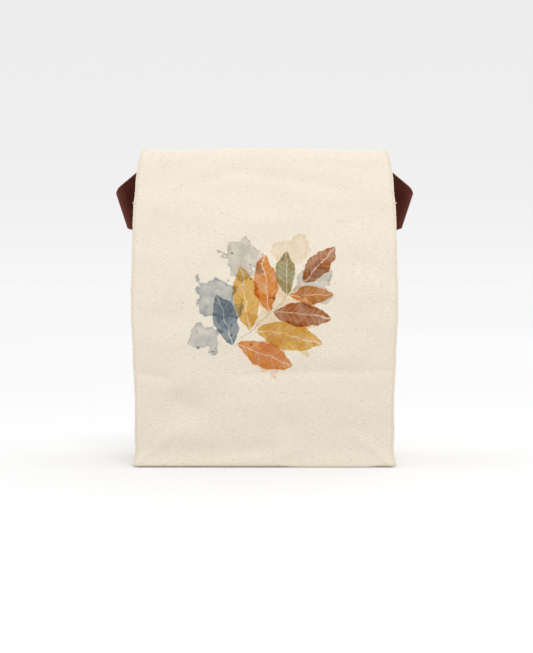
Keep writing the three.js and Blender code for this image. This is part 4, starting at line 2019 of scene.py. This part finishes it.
@dataclass
class Studio:
    """Pale floor, soft light and the camera."""

    aim: tuple[float, float, float] = (1.4, -51.5, 99.0)
    distance: float = 1200.0
    elevation: float = 2.0
    focal_pixels: float = 1714.3
    image_height: int = 653
    sensor_height: float = 24.0
    floor_radius: float = 14.0
    floor_sides: int = 96
    floor_shade: float = 0.77
    floor_cloud: float = 0.01
    floor_cloud_scale: float = 0.8
    floor_rough: float = 0.95
    floor_gloss: float = 0.1
    near_glow: tuple[float, float] = (0.137, 0.107)
    near_span: tuple[float, float] = (0.15, 0.8)
    far_glow: float = 0.105
    far_span: tuple[float, float] = (0.9, 4.2)
    backdrop_level: float = 0.845
    backdrop_rise: float = 0.08
    backdrop_fade: float = 0.045
    side_lift: float = 50.0
    side_span: tuple[float, float] = (0.8, 0.98)
    side_light: tuple[float, float] = (0.84, 1.302)
    zenith_span: tuple[float, float] = (0.88, 0.97)
    zenith_light: tuple[float, float] = (1.0, 0.66)
    lamp_aim: tuple[float, float, float] = (0.0, 0.0, 0.11)

    def build(self) -> None:
        """Makes the stage, the lights and the camera."""
        self.camera()
        self.floor()
        self.sky()
        for lamp in LAMPS:
            self.light(lamp)
        settings = bpy.context.scene.view_settings
        settings.view_transform = "Standard"
        settings.look = "None"

    def camera(self) -> None:
        """Places the camera at the photograph's viewing angle."""
        data = bpy.data.cameras.new("camera")
        data.sensor_fit = "VERTICAL"
        data.sensor_height = self.sensor_height
        data.lens = self.focal_pixels * self.sensor_height / self.image_height
        camera = bpy.data.objects.new("camera", data)
        lift = math.radians(self.elevation)
        away = Vector((0.0, -math.cos(lift), math.sin(lift)))
        camera.location = (Vector(self.aim) + away * self.distance) * MM
        camera.rotation_euler = (-away).to_track_quat("-Z", "Y").to_euler()
        bpy.context.scene.collection.objects.link(camera)
        bpy.context.scene.camera = camera

    def floor(self) -> None:
        """Makes a wide round pale floor."""
        mesh = bpy.data.meshes.new("floor")
        turns = np.linspace(0.0, 2 * math.pi, self.floor_sides, endpoint=False)
        rim = [(self.floor_radius * math.cos(t), self.floor_radius * math.sin(t), 0.0) for t in turns]
        mesh.from_pydata(rim, [], [list(range(len(rim)))])
        floor = bpy.data.objects.new("floor", mesh)
        bpy.context.scene.collection.objects.link(floor)
        material = bpy.data.materials.new("pale_floor")
        material.use_nodes = True
        sketch = NodeSketch(material.node_tree)
        shader = material.node_tree.nodes["Principled BSDF"]
        place = sketch.add("ShaderNodeTexCoord").outputs["Object"]
        shade, dim = self.floor_shade, self.floor_shade - self.floor_cloud
        cloud = sketch.noise(place, self.floor_cloud_scale, 2.0).outputs[0]
        tint = sketch.blend(cloud, (dim, dim, dim, 1.0), (shade, shade, shade, 1.0))
        sketch.feed(shader.inputs["Base Color"], tint)
        away = sketch.length(place)
        near = sketch.rise(away, *self.near_span, *self.near_glow)
        glow = sketch.math("ADD", near, sketch.rise(away, *self.far_span, 0.0, self.far_glow))
        seen = sketch.add("ShaderNodeLightPath").outputs["Is Camera Ray"]
        glow = sketch.math("MULTIPLY", glow, seen)
        grey = sketch.add("ShaderNodeCombineColor", {0: glow, 1: glow, 2: glow}).outputs[0]
        sketch.feed(shader.inputs["Emission Color"], grey)
        shader.inputs["Emission Strength"].default_value = 1.0
        shader.inputs["Roughness"].default_value = self.floor_rough
        shader.inputs["Specular IOR Level"].default_value = self.floor_gloss
        mesh.materials.append(material)

    def sky(self) -> None:
        """Surrounds the stage with soft light, in front of a backdrop that darkens a little upwards."""
        world = bpy.data.worlds.new("studio")
        world.use_nodes = True
        sketch = NodeSketch(world.node_tree)
        toward = sketch.add("ShaderNodeTexCoord").outputs["Generated"]
        toward_x, _, height = sketch.split(toward)
        fade = sketch.math("EXPONENT", sketch.math("DIVIDE", height, -self.backdrop_fade))
        low = sketch.math("MINIMUM", fade, 1.0)
        backdrop = sketch.math("MULTIPLY_ADD", low, self.backdrop_rise, self.backdrop_level)
        lift = math.radians(self.side_lift)
        lean = sketch.math("MULTIPLY", sketch.math("ABSOLUTE", toward_x), math.cos(lift))
        lean = sketch.math("MULTIPLY_ADD", height, math.sin(lift), lean)
        light = sketch.rise(lean, *self.side_span, *self.side_light)
        zenith = sketch.rise(height, *self.zenith_span, *self.zenith_light)
        light = sketch.math("MULTIPLY", light, zenith)
        seen = sketch.add("ShaderNodeLightPath").outputs["Is Camera Ray"]
        colour = sketch.blend(seen, light, backdrop)
        background = world.node_tree.nodes["Background"]
        sketch.feed(background.inputs["Color"], colour)
        background.inputs["Strength"].default_value = 1.0
        bpy.context.scene.world = world

    def light(self, lamp: Lamp) -> None:
        """Adds a light that looks at the sack.

        Args:
            lamp: The light.
        """
        data = bpy.data.lights.new(lamp.name, "AREA")
        data.shape = "RECTANGLE"
        data.size, data.size_y = lamp.size
        data.energy = lamp.power
        light = bpy.data.objects.new(lamp.name, data)
        light.location = lamp.place
        light.visible_camera = False
        toward = Vector(self.lamp_aim) - Vector(lamp.place)
        light.rotation_euler = toward.to_track_quat("-Z", "Y").to_euler()
        bpy.context.scene.collection.objects.link(light)


def main() -> None:
    """Loads the frame and builds the sack, its strap and the studio over it."""
    logging.basicConfig(level=logging.INFO, format="%(message)s")
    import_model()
    Studio().build()
    shape = SackShape()
    finishes = Finishes()
    Sack(shape, finishes).build()
    Strap(shape, finishes).build()


if __name__ == "__main__":
    main()
